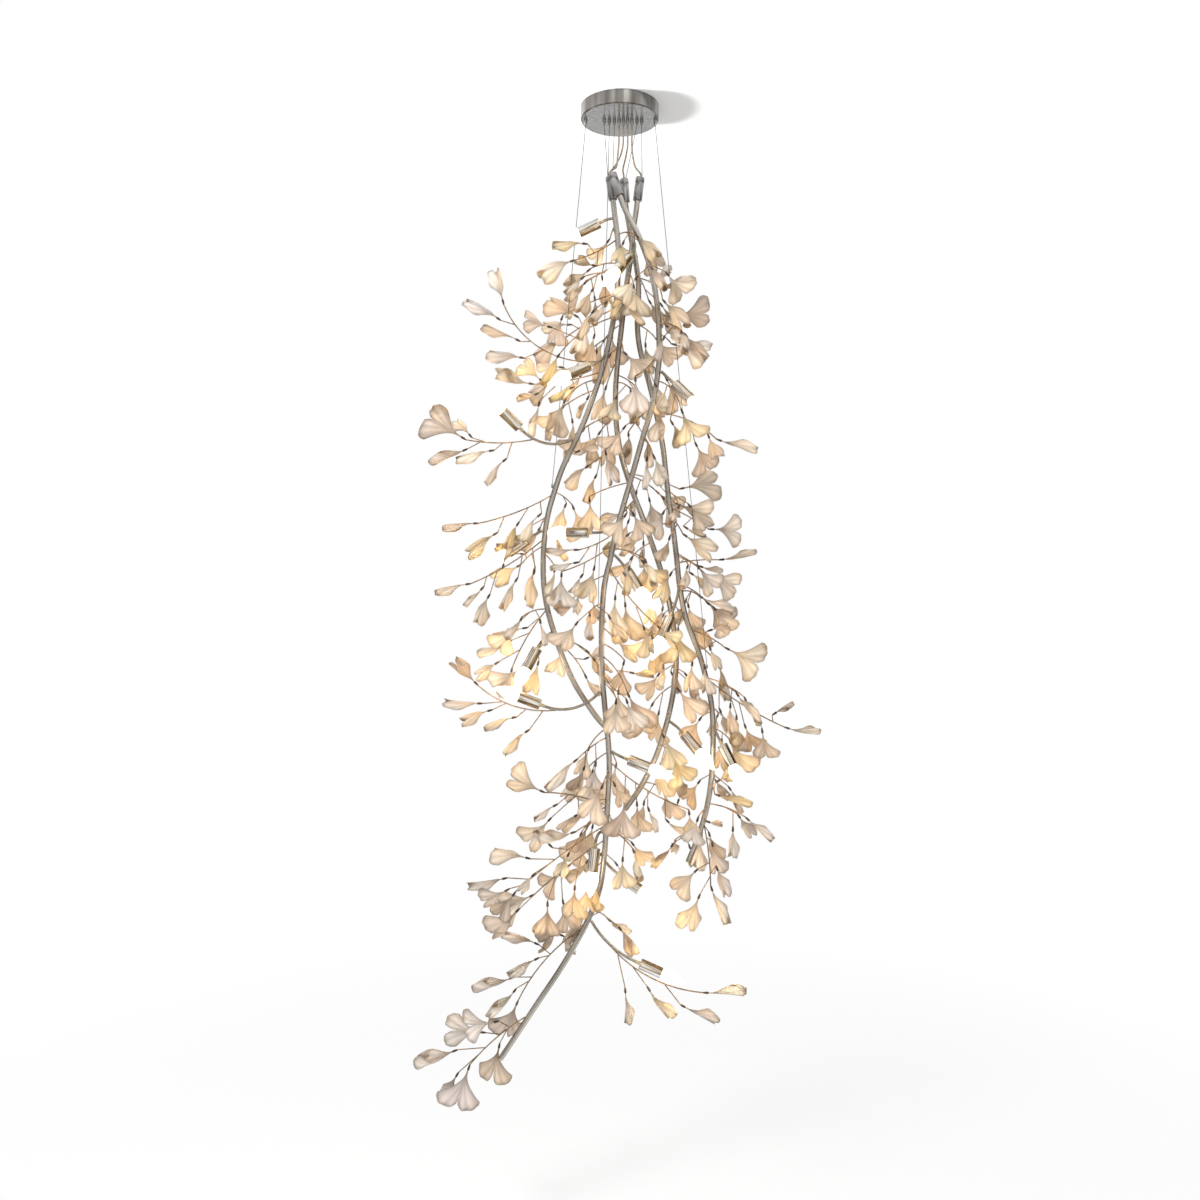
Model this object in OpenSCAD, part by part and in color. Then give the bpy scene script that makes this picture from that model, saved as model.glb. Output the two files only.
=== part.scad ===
// Branch chandelier: four curved steel branches hang from one round canopy and carry
// candle lamps in tubular cups and porcelain ginkgo leaves on thin brazed twigs.
// Millimetres, +Z up. The origin is the centre of the canopy's top, on the ceiling.

/* [Canopy] */
// Outer diameter of the canopy
canopy_d = 200; // [197:1:240]
// Height of the canopy
canopy_h = 35; // [30:1:60]
// Thickness of the canopy's sheet
canopy_wall = 1.6; // [1:0.1:2.5]
// Distance between the two ceiling screws
ceiling_screw_spacing = 120; // [80:1:130]
// Diameter of a ceiling screw hole
ceiling_hole_d = 5.5; // [4:0.1:8]

/* [Suspension] */
// Diameter of a steel suspension wire
wire_d = 1.5; // [1:0.1:2]
// Diameter of a cable gripper
gripper_d = 9; // [8:0.1:10]
// Drop from the canopy's underside to where the wires and cords leave
exit_drop = 13; // [12:1:30]
// Travel of a gripper's release nozzle
nozzle_travel = 1.5; // [1:0.1:2]
// Diameter of a power cord
cord_d = 4.5; // [4:0.1:5]
// Diameter of a cord gland
gland_d = 9; // [8:0.1:10]

/* [Branches] */
// Outer diameter of a branch tube
tube_d = 14; // [11:0.1:16]
// Wall of a branch tube
tube_wall = 1.5; // [1:0.1:2]
// Outer diameter of a branch cap
cap_d = 23; // [20:0.1:24]
// Length of a branch cap
cap_len = 60; // [50:1:64]
// Diameter of a twig's stem
twig_d = 3.2; // [2.6:0.1:3.4]
// Diameter of a twig's side shoot
shoot_d = 2.6; // [2:0.1:3.2]

/* [Lamps] */
// Outer diameter of a lamp cup
cup_d = 27; // [26:0.1:30]
// Length of a lamp cup
cup_len = 58; // [54:1:64]
// Wall of a lamp cup
cup_wall = 1.2; // [0.8:0.1:1.5]
// Outer diameter of a lamp arm
arm_d = 7; // [6:0.1:8]
// Diameter of a candle bulb
bulb_d = 35; // [30:1:38]

/* [Leaves] */
// Outer diameter of a leaf ferrule
ferrule_d = 6; // [5.4:0.1:7]
// Length of a leaf ferrule
ferrule_len = 13; // [12:0.5:15]
// Thickness of a leaf
leaf_t = 2.2; // [1.6:0.1:2.4]
// Width of a whole leaf as a share of its length
leaf_fullness = 0.86; // [0.7:0.01:1]
// Angle each lobe of a leaf is folded back by
leaf_fold = 16; // [4:1:18]

/* [Hidden] */
$fn = 32;
gap = 0.15; // clearance of a fit
seat = 0.2; // gap left where a piece is brazed or glued to its seat

// The places below are read from a front view on the plane y = 0, seen from eye.
eye = [-51, -2790, -1268];

// The four branch routes: [x, z] as seen on the plane y = 0, then the true depth y.
front_route = [
  [-13, -191, -24], [-2, -222, -26], [10, -256, -28], [27, -290, -32], [45, -325, -36],
  [64, -370, -42], [80, -420, -48], [92, -480, -54], [99, -540, -60], [101, -600, -64],
  [101, -650, -66], [92, -725, -68], [79, -785, -68], [62, -840, -66], [45, -900, -63],
  [28, -960, -60], [12, -1015, -57], [-3, -1068, -54], [-15, -1115, -51], [-25, -1165, -48],
  [-36, -1210, -46], [-43, -1260, -44], [-47, -1350, -42], [-46, -1450, -42],
  [-38, -1550, -42], [-30, -1630, -42], [-27, -1700, -42], [-31, -1782, -40],
  [-35, -1850, -38], [-40, -1925, -36], [-51, -2005, -30], [-77, -2080, -24],
  [-116, -2155, -18], [-158, -2225, -12], [-206, -2296, -6], [-257, -2373, 0],
  [-305, -2445, 6]];
left_route = [
  [-23, -200, 12], [-18, -236, 12], [-14, -272, 12], [-9, -310, 12], [-5, -350, 12],
  [-5, -410, 10], [-7, -480, 8], [-17, -550, 6], [-27, -600, 4], [-37, -645, 2],
  [-50, -690, 0], [-68, -745, -2], [-88, -800, -5], [-117, -865, -8], [-148, -930, -10],
  [-170, -995, -10], [-184, -1045, -10], [-192, -1095, -10], [-197, -1160, -10],
  [-195, -1235, -8], [-184, -1300, -5], [-168, -1355, 0], [-147, -1415, 4],
  [-118, -1480, 6], [-85, -1533, 6], [-55, -1575, 4], [-24, -1606, 0]];
rear_route = [
  [50, -202, 22], [46, -235, 22], [42, -268, 22], [37, -300, 23], [33, -335, 24],
  [29, -380, 26], [20, -440, 30], [12, -500, 36], [4, -570, 44], [-4, -640, 50],
  [-10, -710, 56], [-11, -780, 60], [-5, -850, 62], [10, -920, 62], [33, -990, 60],
  [60, -1060, 56], [85, -1130, 52], [108, -1200, 48], [127, -1275, 44], [140, -1350, 38],
  [145, -1420, 32], [141, -1480, 28], [131, -1540, 24], [116, -1600, 20],
  [93, -1670, 16], [56, -1745, 12], [15, -1804, 8]];
right_route = [
  [12, -206, 46], [14.5, -240, 46], [18, -272, 46], [25, -310, 47], [32, -355, 48],
  [41, -400, 50], [47, -445, 50], [48, -500, 50], [45, -550, 50], [48, -600, 48],
  [58, -650, 46], [74, -705, 42], [92, -780, 36], [110, -870, 30], [118, -940, 26],
  [126, -1010, 22], [137, -1085, 18], [146, -1160, 14], [154, -1234, 10], [170, -1314, 6],
  [200, -1395, 2], [222, -1470, 0], [236, -1540, 0], [240, -1620, 0], [236, -1720, 2],
  [224, -1800, 4], [204, -1870, 6], [177, -1938, 8]];

// The lamps: branch, height where the arm leaves it, cup base [x, z, y], mouth [x, z, y].
lamps = [
  [1, -285, [-52, -298, 24], [-97, -319, 34]],
  [2, -350, [24, -386, -10], [-10, -424, -34]],
  [0, -680, [140, -712, -80], [180, -750, -92]],
  [1, -860, [-258, -825, -62], [-294, -790, -74]],
  [1, -1090, [-240, -1115, 10], [-285, -1146, 24]],
  [0, -1086, [-82, -1095, 8], [-132, -1095, 26]],
  [0, -1150, [18, -1192, -72], [48, -1237, -84]],
  [1, -1350, [-212, -1393, -20], [-238, -1440, -30]],
  [0, -1503, [-205, -1537, -70], [-258, -1517, -76]],
  [3, -1234, [129, -1312, -40], [105, -1368, -52]],
  [2, -1579, [165, -1614, -10], [196, -1650, -30]],
  [3, -1590, [263, -1641, -24], [287, -1689, -40]],
  [0, -1657, [23, -1679, -64], [76, -1700, -76]],
  [0, -1940, [3, -1978, -60], [52, -2014, -74]],
  [0, -2088, [52, -2203, -60], [106, -2227, -66]],
  [0, -1868, [-64, -1906, -90], [-70, -1962, -96]],
  [1, -640, [-78, -666, -30], [-128, -688, -40]]];

// The twigs: [host, height on the branch, ferrule [x, z, y], rise of the stem's bow,
//   tip leaf [x, z, depth step, roll], side leaves].
// A side leaf is [share of the stem, ferrule x, z, tip x, z, depth step, roll]. A host of
// 10 or more is the arm of lamp host - 10, and the height is then a share of that arm.
front_twigs = [
  [0, -455, [114, -500, -70], 3, [174, -568, -45, 30], [[0.4, 112, -468, 190, -450, 30, 70]]],
  [0, -520, [120, -563, -110], 4, [166, -604, -30, 45], [[0.5, 140, -540, 232, -526, 20, 40]]],
  [0, -588, [140, -611, -68], 2, [228, -634, -15, 12], []],
  [0, -706, [160, -783, -130], 14, [192, -858, -15, 8],
    [[0.3, 104, -780, 100, -862, -30, 25], [0.62, 134, -812, 168, -866, 30, 45]]],
  [0, -640, [40, -700, -150], -6, [44, -790, -20, 15], [[0.5, 92, -715, 128, -780, -40, 35]]],
  [0, -1020, [14, -1050, -130], 4, [-24, -1112, -15, 12], [[0.5, 34, -1046, 66, -1108, -20, 20]]],
  [0, -850, [88, -900, -140], 6, [118, -968, -15, 25], [[0.4, 70, -905, 62, -985, 25, 60]]],
  [0, -1100, [-112, -1139, -110], -5, [-190, -1140, -10, 78],
    [[0.5, -66, -1186, -84, -1272, 10, 15], [0.75, -112, -1172, -180, -1184, -25, 60]]],
  [0, -1135, [-150, -1203, -60], -6, [-154, -1288, -15, 6],
    [[0.55, -98, -1206, -128, -1250, -25, 50]]],
  [0, -1190, [100, -1338, -100], -8, [150, -1386, -20, 30],
    [[0.2, -12, -1262, -18, -1362, -22, 30], [0.35, 14, -1280, 22, -1378, -20, 20],
     [0.62, 62, -1340, 84, -1412, -30, 25]]],
  [0, -1415, [22, -1512, -90], 10, [68, -1608, -20, 5],
    [[0.45, 30, -1455, 92, -1470, 30, 40], [0.75, -4, -1505, -6, -1574, -20, 15]]],
  [0, -1460, [-10, -1530, -170], 6, [-16, -1612, -15, 10], [[0.6, 18, -1528, 44, -1606, -20, 30]]],
  [0, -1622, [-114, -1681, -80], 4, [-198, -1746, -15, 60],
    [[0.35, -62, -1690, -72, -1756, -25, 30], [0.7, -92, -1700, -112, -1764, 20, 25]]],
  [0, -1690, [178, -1815, -60], -12, [186, -1872, -20, 15],
    [[0.2, 12, -1785, 2, -1880, -25, 25], [0.34, 44, -1792, 48, -1866, 20, 20],
     [0.5, 74, -1806, 94, -1866, -20, 50], [0.72, 122, -1836, 178, -1896, 25, 60],
     [0.85, 150, -1786, 164, -1738, 20, 35]]],
  [0, -1712, [-46, -1748, -120], 4, [-86, -1836, -15, 6], [[0.5, -14, -1742, 10, -1796, -25, 20]]],
  [0, -1795, [-200, -1760, -70], 8, [-286, -1722, -10, 25],
    [[0.45, -112, -1822, -164, -1850, 25, 70], [0.62, -166, -1796, -224, -1828, -30, 72],
     [0.5, -180, -1832, -240, -1898, 30, 15]]],
  [0, -1832, [-120, -1866, -120], 6, [-208, -1896, -15, 55], [[0.5, -132, -1922, -158, -1984, 25, 30]]],
  [0, -1850, [-272, -2024, -100], 6, [-316, -2086, -20, 35],
    [[0.4, -178, -1900, -218, -1862, -20, 50], [0.55, -236, -1932, -328, -1910, 25, 50],
     [0.62, -222, -1975, -262, -2016, -44, 50], [0.84, -296, -1984, -394, -2006, 20, 70],
     [0.92, -290, -2014, -354, -2050, -25, 35]]],
  [0, -1890, [-226, -2028, -10], 5, [-310, -2066, 15, 35],
    [[0.3, -116, -2008, -120, -2088, -25, 12], [0.42, -150, -1972, -206, -2012, 25, 20],
     [0.6, -146, -2044, -130, -2126, 20, 10], [0.68, -186, -2050, -186, -2130, -20, 15],
     [0.92, -262, -2066, -330, -2134, -34, 25]]],
  [0, -1945, [-84, -1998, -46], 3, [-78, -2072, -15, 12], [[0.4, -64, -2000, -54, -2066, -25, 35]]],
  [0, -2122, [-264, -2304, 30], 16, [-302, -2394, 20, 10],
    [[0.22, -150, -2130, -200, -2108, 20, 60], [0.4, -214, -2152, -298, -2116, 20, 70],
     [0.42, -214, -2191, -292, -2228, -25, 60], [0.72, -278, -2240, -376, -2276, 20, 65],
     [0.78, -270, -2272, -326, -2344, 22, 65]]],
  [0, -2345, [-388, -2470, -20], 8, [-424, -2576, -15, 0],
    [[0.25, -318, -2352, -402, -2366, -30, 35], [0.42, -352, -2380, -452, -2372, 25, 8],
     [0.3, -310, -2414, -330, -2510, 25, 6], [0.7, -424, -2427, -524, -2466, 20, 55],
     [0.85, -418, -2488, -462, -2560, 25, 30]]],
  [0, -1340, [-10, -1372, 20], 3, [52, -1424, 15, 30], []],
  [0, -1600, [-80, -1650, 20], 4, [-104, -1722, 15, 30], []],
  [0, -1652, [-10, -1694, 30], 3, [-26, -1774, 15, 15], []],
  [0, -1812, [-84, -1852, 20], 3, [-112, -1926, 15, 25], []],
  [0, -1380, [10, -1430, 90], 5, [-10, -1510, 15, 20], []],
  [0, -1480, [-5, -1530, 112], 5, [25, -1605, 15, 30], []],
  [0, -1660, [-100, -1720, 100], 5, [-150, -1780, 15, 30], [[0.5, -70, -1710, -80, -1790, 25, 20]]],
  [0, -1800, [-100, -1870, 90], 5, [-130, -1950, 15, 20], [[0.5, -70, -1850, -85, -1925, 45, 30]]],
  [0, -2040, [-150, -2100, 90], 5, [-210, -2160, 15, 25], [[0.5, -110, -2090, -130, -2170, 25, 35]]],
  [24, 0.5, [222, -2278, -4], -26, [326, -2283, -15, 62],
    [[0.12, 14, -2272, 20, -2362, 20, 78], [0.3, 74, -2268, 126, -2352, -25, 42],
     [0.64, 162, -2312, 252, -2360, 20, 50]]],
  [18, 0.82, [-370, -1482, -30], -22, [-430, -1420, -15, 45],
    [[0.15, -238, -1605, -308, -1652, 20, 68], [0.35, -272, -1570, -352, -1586, -25, 70],
     [0.6, -334, -1552, -412, -1574, -30, 50], [0.66, -360, -1534, -456, -1534, 20, 60]]]];
left_twigs = [
  [1, -300, [-30, -345, 90], 4, [-70, -400, 20, 15], [[0.5, -6, -340, 20, -410, 30, 30]]],
  [1, -400, [-80, -420, 110], 5, [-140, -470, 15, 25], [[0.5, -45, -440, -30, -515, 25, 35]]],
  [1, -520, [-150, -600, 130], 5, [-225, -640, 15, 12],
    [[0.45, -80, -560, -120, -630, -30, 30], [0.7, -130, -560, -200, -560, 25, 20]]],
  [1, -590, [-100, -650, 130], 4, [-150, -720, 15, 25], [[0.5, -60, -630, -70, -710, 25, 40]]],
  [1, -650, [-170, -700, 120], 5, [-240, -740, 15, 10],
    [[0.5, -100, -690, -140, -760, 25, 35], [0.75, -150, -670, -215, -660, -25, 30]]],
  [1, -990, [-120, -1030, 140], 5, [-90, -1105, 15, 20], [[0.5, -140, -1025, -170, -1095, 25, 30]]],
  [1, -1130, [-260, -1180, 110], 5, [-330, -1220, 15, 20],
    [[0.5, -220, -1190, -250, -1270, 25, 30], [0.75, -250, -1150, -320, -1140, 25, 35]]],
  [1, -1360, [-250, -1440, 130], 6, [-320, -1500, 15, 15], [[0.5, -210, -1430, -230, -1510, 25, 35]]],
  [1, -345, [-122, -396, -40], -5, [-208, -422, -15, 6],
    [[0.55, -90, -352, -172, -344, -25, 30], [0.45, -66, -408, -112, -398, 30, 15]]],
  [1, -430, [-96, -440, -70], 5, [-142, -476, -15, 40], [[0.6, -70, -470, -106, -530, -25, 20]]],
  [1, -545, [-158, -640, -50], 12, [-204, -712, -15, 42],
    [[0.45, -112, -538, -186, -492, 19, 12], [0.66, -180, -566, -248, -546, -25, 8],
     [0.3, -66, -590, -84, -662, 35, 25]]],
  [1, -480, [-149, -543, 95], 4, [-174, -612, 15, 20], []],
  [1, -655, [-300, -502, 60], -50, [-324, -415, 15, 30],
    [[0.5, -252, -645, -340, -630, 20, 28], [0.62, -262, -600, -352, -556, -20, 68],
     [0.82, -312, -545, -398, -486, 20, 40]]],
  [1, -686, [-228, -712, 40], -6, [-318, -696, 15, 35],
    [[0.4, -124, -722, -184, -746, -45, 60], [0.7, -202, -704, -252, -656, -25, 12],
     [0.78, -214, -738, -262, -756, 25, 25], [0.62, -208, -764, -222, -848, 45, 65]]],
  [1, -705, [-142, -757, -60], 10, [-178, -838, -15, 5], [[0.3, -82, -748, -108, -800, 25, 55]]],
  [1, -880, [-108, -886, -50], 2, [-58, -864, -15, 35], []],
  [13, 0.78, [-402, -852, -10], -8, [-498, -794, -15, 3],
    [[0.3, -296, -908, -356, -958, -20, 60], [0.45, -330, -884, -426, -900, 25, 50],
     [0.8, -398, -882, -490, -920, 20, 45], [0.7, -384, -846, -424, -800, 45, 30]]],
  [1, -1004, [-370, -1071, 40], -8, [-456, -1073, 10, 68],
    [[0.14, -207, -1050, -272, -1106, -35, 78], [0.32, -262, -1072, -300, -1130, -20, 40],
     [0.66, -320, -1098, -402, -1148, 25, 30]]],
  [1, -1118, [-390, -1227, -40], -8, [-478, -1240, -10, 72],
    [[0.14, -220, -1196, -248, -1284, 25, 62], [0.3, -266, -1216, -312, -1288, -20, 42],
     [0.55, -300, -1180, -288, -1128, -30, 55], [0.66, -337, -1258, -378, -1330, 25, 28],
     [0.8, -354, -1238, -396, -1288, -25, 55]]],
  [1, -1150, [-168, -1190, -60], 3, [-176, -1262, -15, 55], []],
  [1, -1296, [-278, -1448, 50], 8, [-288, -1500, 45, 20],
    [[0.16, -244, -1340, -330, -1356, 20, 60], [0.42, -284, -1374, -368, -1408, -20, 68],
     [0.72, -316, -1430, -374, -1466, 20, 28]]],
  [1, -1384, [-88, -1464, 50], 6, [-60, -1522, 15, 42], [[0.55, -86, -1418, -42, -1400, 25, 30]]]];
rear_twigs = [
  [2, -560, [-40, -600, 120], 4, [-80, -670, 15, 30], [[0.5, -20, -590, -10, -670, 25, 20]]],
  [2, -430, [36, -462, -10], 3, [46, -540, -12, 12], [[0.4, 8, -470, -14, -546, -28, 35]]],
  [2, -600, [14, -634, 10], 3, [66, -684, -15, 25], [[0.5, -26, -640, -60, -706, 25, 40]]],
  [2, -655, [-36, -722, 105], 3, [-62, -810, 15, 20], []],
  [2, -690, [46, -730, 90], 4, [64, -806, 15, 60], [[0.5, 46, -748, 40, -822, -25, 35]]],
  [2, -800, [-52, -838, 90], 3, [-90, -900, 15, 20], [[0.5, -30, -852, -38, -924, -25, 30]]],
  [2, -860, [-36, -890, 10], 2, [-18, -970, -15, 30], []],
  [2, -965, [-78, -1010, 70], 4, [-70, -1090, 15, 25], []],
  [2, -880, [-84, -925, 80], 4, [-148, -966, 15, 28], [[0.6, -62, -950, -96, -1016, 25, 40]]],
  [2, -945, [160, -981, 90], 5, [256, -962, 15, 32],
    [[0.5, 150, -1022, 232, -1056, -25, 22], [0.3, 76, -1010, 92, -1084, 25, 30]]],
  [2, -1010, [10, -1040, 130], 4, [-46, -1074, 15, 35], [[0.5, 22, -1066, -4, -1140, 25, 20]]],
  [2, -1120, [30, -1160, 120], 4, [-6, -1216, 15, 25], [[0.5, 62, -1172, 66, -1250, -25, 35]]],
  [2, -1230, [82, -1266, -10], 3, [74, -1330, -15, 30], [[0.5, 110, -1290, 100, -1350, 60, 55]]],
  [2, -1335, [84, -1368, 90], 3, [112, -1452, 15, 35], []],
  [2, -1560, [112, -1618, -90], 3, [150, -1700, -15, 15], []],
  [2, -1400, [150, -1498, -20], 8, [204, -1574, -15, 20],
    [[0.3, 112, -1440, 110, -1498, -40, 35], [0.5, 170, -1460, 206, -1510, 30, 45]]],
  [2, -1490, [84, -1536, 70], 4, [46, -1604, 15, 30], [[0.5, 100, -1558, 86, -1636, 25, 20]]],
  [2, -1640, [134, -1668, -50], 3, [170, -1742, -15, 10], [[0.4, 104, -1702, 106, -1776, 22, 20]]],
  [2, -1735, [112, -1760, 60], 4, [136, -1836, 15, 20], [[0.5, 62, -1790, 52, -1860, 25, 35]]]];
right_twigs = [
  [3, -1830, [210, -1880, 70], 4, [190, -1960, 15, 30], [[0.5, 230, -1870, 250, -1940, 25, 20]]],
  [3, -440, [106, -462, 90], 3, [194, -448, 10, 70], [[0.5, 86, -440, 138, -424, 25, 50]]],
  [3, -560, [96, -600, 110], 4, [142, -658, 15, 30], [[0.5, 66, -612, 70, -690, 25, 40]]],
  [3, -660, [120, -700, 110], 5, [160, -776, 15, 25], [[0.5, 92, -720, 96, -800, 25, 50]]],
  [3, -788, [256, -857, 20], 14, [352, -890, 10, 72],
    [[0.5, 196, -868, 230, -938, 20, 38], [0.75, 228, -846, 248, -902, -25, 30]]],
  [3, -1035, [236, -1086, 30], 3, [312, -1088, 10, 28], [[0.5, 170, -1082, 214, -1112, -34, 60]]],
  [3, -1062, [168, -1102, -40], 3, [242, -1156, -15, 32], [[0.45, 128, -1108, 110, -1170, -20, 35]]],
  [3, -1158, [228, -1205, -30], 5, [306, -1236, -10, 5], [[0.4, 184, -1200, 230, -1232, 25, 45]]],
  [3, -1172, [262, -1164, 50], 3, [352, -1155, 10, 62], [[0.45, 208, -1182, 262, -1200, 30, 50]]],
  [3, -1246, [208, -1260, 22], 5, [294, -1304, 10, 78], [[0.5, 176, -1282, 190, -1344, 25, 30]]],
  [3, -1300, [150, -1345, -80], 3, [150, -1430, -15, 20], []],
  [3, -1350, [276, -1393, -30], 5, [364, -1438, -10, 14],
    [[0.3, 232, -1346, 282, -1330, -25, 25], [0.7, 232, -1392, 252, -1448, -30, 40]]],
  [3, -1384, [254, -1438, 40], 3, [288, -1520, 15, 55], []],
  [3, -1400, [186, -1432, -60], 3, [176, -1504, -15, 20], [[0.5, 218, -1440, 222, -1512, -25, 30]]],
  [3, -1478, [430, -1597, 40], -8, [512, -1622, 10, 58],
    [[0.14, 258, -1552, 284, -1612, 25, 30], [0.3, 300, -1570, 304, -1644, -20, 55],
     [0.42, 322, -1592, 346, -1656, 25, 20], [0.66, 366, -1604, 376, -1676, -20, 25],
     [0.85, 398, -1560, 442, -1530, 25, 45]]],
  [3, -1600, [284, -1632, 24], 3, [322, -1724, 10, 18], [[0.5, 262, -1630, 258, -1704, 34, 20]]],
  [3, -1740, [252, -1770, -30], 3, [338, -1802, -10, 50], [[0.5, 252, -1734, 292, -1710, 25, 30]]],
  [3, -1800, [200, -1832, -118], 2, [180, -1894, -15, 25], [[0.5, 226, -1838, 262, -1850, -25, 28]]],
  [3, -1846, [236, -2010, -40], 8, [267, -2106, -12, 62],
    [[0.2, 238, -1896, 250, -1976, 30, 30], [0.62, 196, -1964, 140, -2020, -25, 5],
     [0.8, 250, -1958, 276, -2034, 40, 30], [0.86, 204, -2030, 168, -2122, 30, 12]]]];

// The wires: canopy x, branch, height of the lug on it, and on which side of the tube.
long_wires = [[-88, 1, -976, -1], [91, 3, -1440, 1], [-27, 0, -1310, -1]];
// The wires that end in a cap: canopy x, branch, and on which side of the cord.
cap_wires = [[-40, 1, -1], [-14, 0, -1], [56, 2, 1], [44, 3, 1]];
// The power cords: canopy x, branch and the points between gland and cap [x, z, y].
cord_ways = [
  [-2, 0, [[-2, -75, 0], [-3, -100, -3], [-6, -130, -8], [-9, -155, -14]]],
  [9, 1, [[9, -75, 0], [8, -100, 3], [0, -130, 9], [-15, -155, 12]]],
  [20, 3, [[20, -75, 0], [20, -100, 8], [15, -130, 22], [8, -160, 36]]],
  [31, 2, [[31, -75, 0], [31, -100, 3], [34, -130, 9], [40, -155, 15]]]];

tube_r = tube_d / 2;
bore_r = tube_r - tube_wall;
arm_r = arm_d / 2;
wire_r = wire_d / 2;
exit_z = -canopy_h - exit_drop;
tube_sides = 8;
lead_sides = 6;
lead_r = 2;

// ---------- vectors and views ----------

function unit(v) = v / norm(v);
function mix(a, b, t) = a + (b - a) * t;

// The true place of a point seen at [x, z] on the plane y = 0, at depth y.
function at(p) =
  let (k = 1 - p[2] / eye[1])
  [eye[0] + (p[0] - eye[0]) * k, p[2], eye[2] + (p[1] - eye[2]) * k];
// The height at which a true point is seen.
function seen_z(p) = eye[2] + (p[2] - eye[2]) / (1 - p[1] / eye[1]);

// A smooth curve through points: Catmull-Rom, with steps pieces to a span.
function curve_point(p, i, t) =
  let (a = p[max(i - 1, 0)], b = p[i], c = p[i + 1], d = p[min(i + 2, len(p) - 1)])
  0.5 * (2 * b + (c - a) * t + (2 * a - 5 * b + 4 * c - d) * t * t
         + (3 * b - a - 3 * c + d) * t * t * t);
function smooth(p, steps) = [
  for (i = [0 : len(p) - 2], k = [0 : steps - 1]) curve_point(p, i, k / steps),
  p[len(p) - 1]];

function axis_at(p, i) = unit(p[min(i + 1, len(p) - 1)] - p[max(i - 1, 0)]);
// A ring of n points; side is a direction that the axis never runs along.
function ring(c, a, r, n, side) =
  let (e = unit(cross(a, side)), f = cross(a, e))
  [for (k = [0 : n - 1]) c + r * (cos(360 * k / n) * e + sin(360 * k / n) * f)];
function rings(p, r, n, side = [0, 1, 0]) =
  [for (i = [0 : len(p) - 1]) each ring(p[i], axis_at(p, i), r, n, side)];

// A solid rod of n sides along p.
module rod(p, r, n, side = [0, 1, 0]) {
  last = (len(p) - 1) * n;
  walls = [for (i = [0 : len(p) - 2], k = [0 : n - 1])
    [i * n + k, (i + 1) * n + k, (i + 1) * n + (k + 1) % n, i * n + (k + 1) % n]];
  ends = [[for (k = [0 : n - 1]) k], [for (k = [n - 1 : -1 : 0]) last + k]];
  polyhedron(points = rings(p, r, n, side), faces = concat(walls, ends), convexity = 6);
}

// An open pipe of n sides along p.
module pipe(p, r, r_in, n) {
  inner = len(p) * n;
  last = (len(p) - 1) * n;
  outside = [for (i = [0 : len(p) - 2], k = [0 : n - 1])
    [i * n + k, (i + 1) * n + k, (i + 1) * n + (k + 1) % n, i * n + (k + 1) % n]];
  inside = [for (f = outside) [inner + f[3], inner + f[2], inner + f[1], inner + f[0]]];
  lips = [for (k = [0 : n - 1]) each [
    [k, (k + 1) % n, inner + (k + 1) % n, inner + k],
    [inner + last + k, inner + last + (k + 1) % n, last + (k + 1) % n, last + k]]];
  polyhedron(points = concat(rings(p, r, n), rings(p, r_in, n)),
             faces = concat(outside, inside, lips), convexity = 8);
}

// Puts its children at p with their z axis along u, and x as near side as can be.
module place(p, u, side = [1, 0, 0]) {
  y = unit(cross(u, side));
  x = cross(y, u);
  multmatrix([[x[0], y[0], u[0], p[0]], [x[1], y[1], u[1], p[1]], [x[2], y[2], u[2], p[2]]])
    children();
}

module ring_solid(r, r_in, h) {
  difference() {
    cylinder(r = r, h = h);
    translate([0, 0, -1]) cylinder(r = r_in, h = h + 2);
  }
}

// ---------- arcs ----------

// An arc from a to b that bows by rise: [centre, towards the bow, along the chord, r, half].
function bow_arc(a, b, rise) =
  let (along = unit(b - a), c = norm(b - a), up = unit([0, 0, 1] - along[2] * along))
  arc_of(a, b, up * sign(rise), abs(rise));
function arc_of(a, b, out, rise) =
  let (c = norm(b - a), r = (c * c / 4 + rise * rise) / (2 * rise))
  [mix(a, b, 0.5) - out * (r - rise), out, unit(b - a), r, 2 * atan(2 * rise / c)];
// The arc from a that arrives at b along u.
function arriving_arc(a, b, u) =
  let (along = unit(b - a), side = unit(along - (along * u) * u), c = norm(b - a))
  let (half = max(acos(min(along * u, 1)), 0.5))
  let (out = unit(u * -1 + (u * along) * along))
  arc_of(a, b, out * 1, c / 2 * tan(half / 2));
function arc_point(g, t) =
  let (w = g[4] * (2 * t - 1)) g[0] + g[3] * (cos(w) * g[1] + sin(w) * g[2]);
function arc_way(g, t) =
  let (w = g[4] * (2 * t - 1)) cos(w) * g[2] - sin(w) * g[1];

// A round rod along an arc, or a pipe where r_in is given.
module arc_rod(g, r, r_in = 0) {
  n = cross(g[1], g[2]);
  multmatrix([[g[1][0], g[2][0], n[0], g[0][0]], [g[1][1], g[2][1], n[1], g[0][1]],
              [g[1][2], g[2][2], n[2], g[0][2]]])
    rotate([0, 0, -g[4]])
      rotate_extrude(angle = 2 * g[4], $fn = ceil(max(32, 1600 / g[4])))
        translate([g[3], 0]) difference() {
          circle(r = r, $fn = 32);
          if (r_in > 0) circle(r = r_in, $fn = 32);
        }
}

module straight_rod(a, b, r) {
  place(a, unit(b - a)) cylinder(r = r, h = norm(b - a));
}

// ---------- branches ----------

axes = [for (p = [front_route, left_route, rear_route, right_route]) [for (q = p) at(q)]];
routes = [for (p = axes) smooth(p, 2)];

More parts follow.
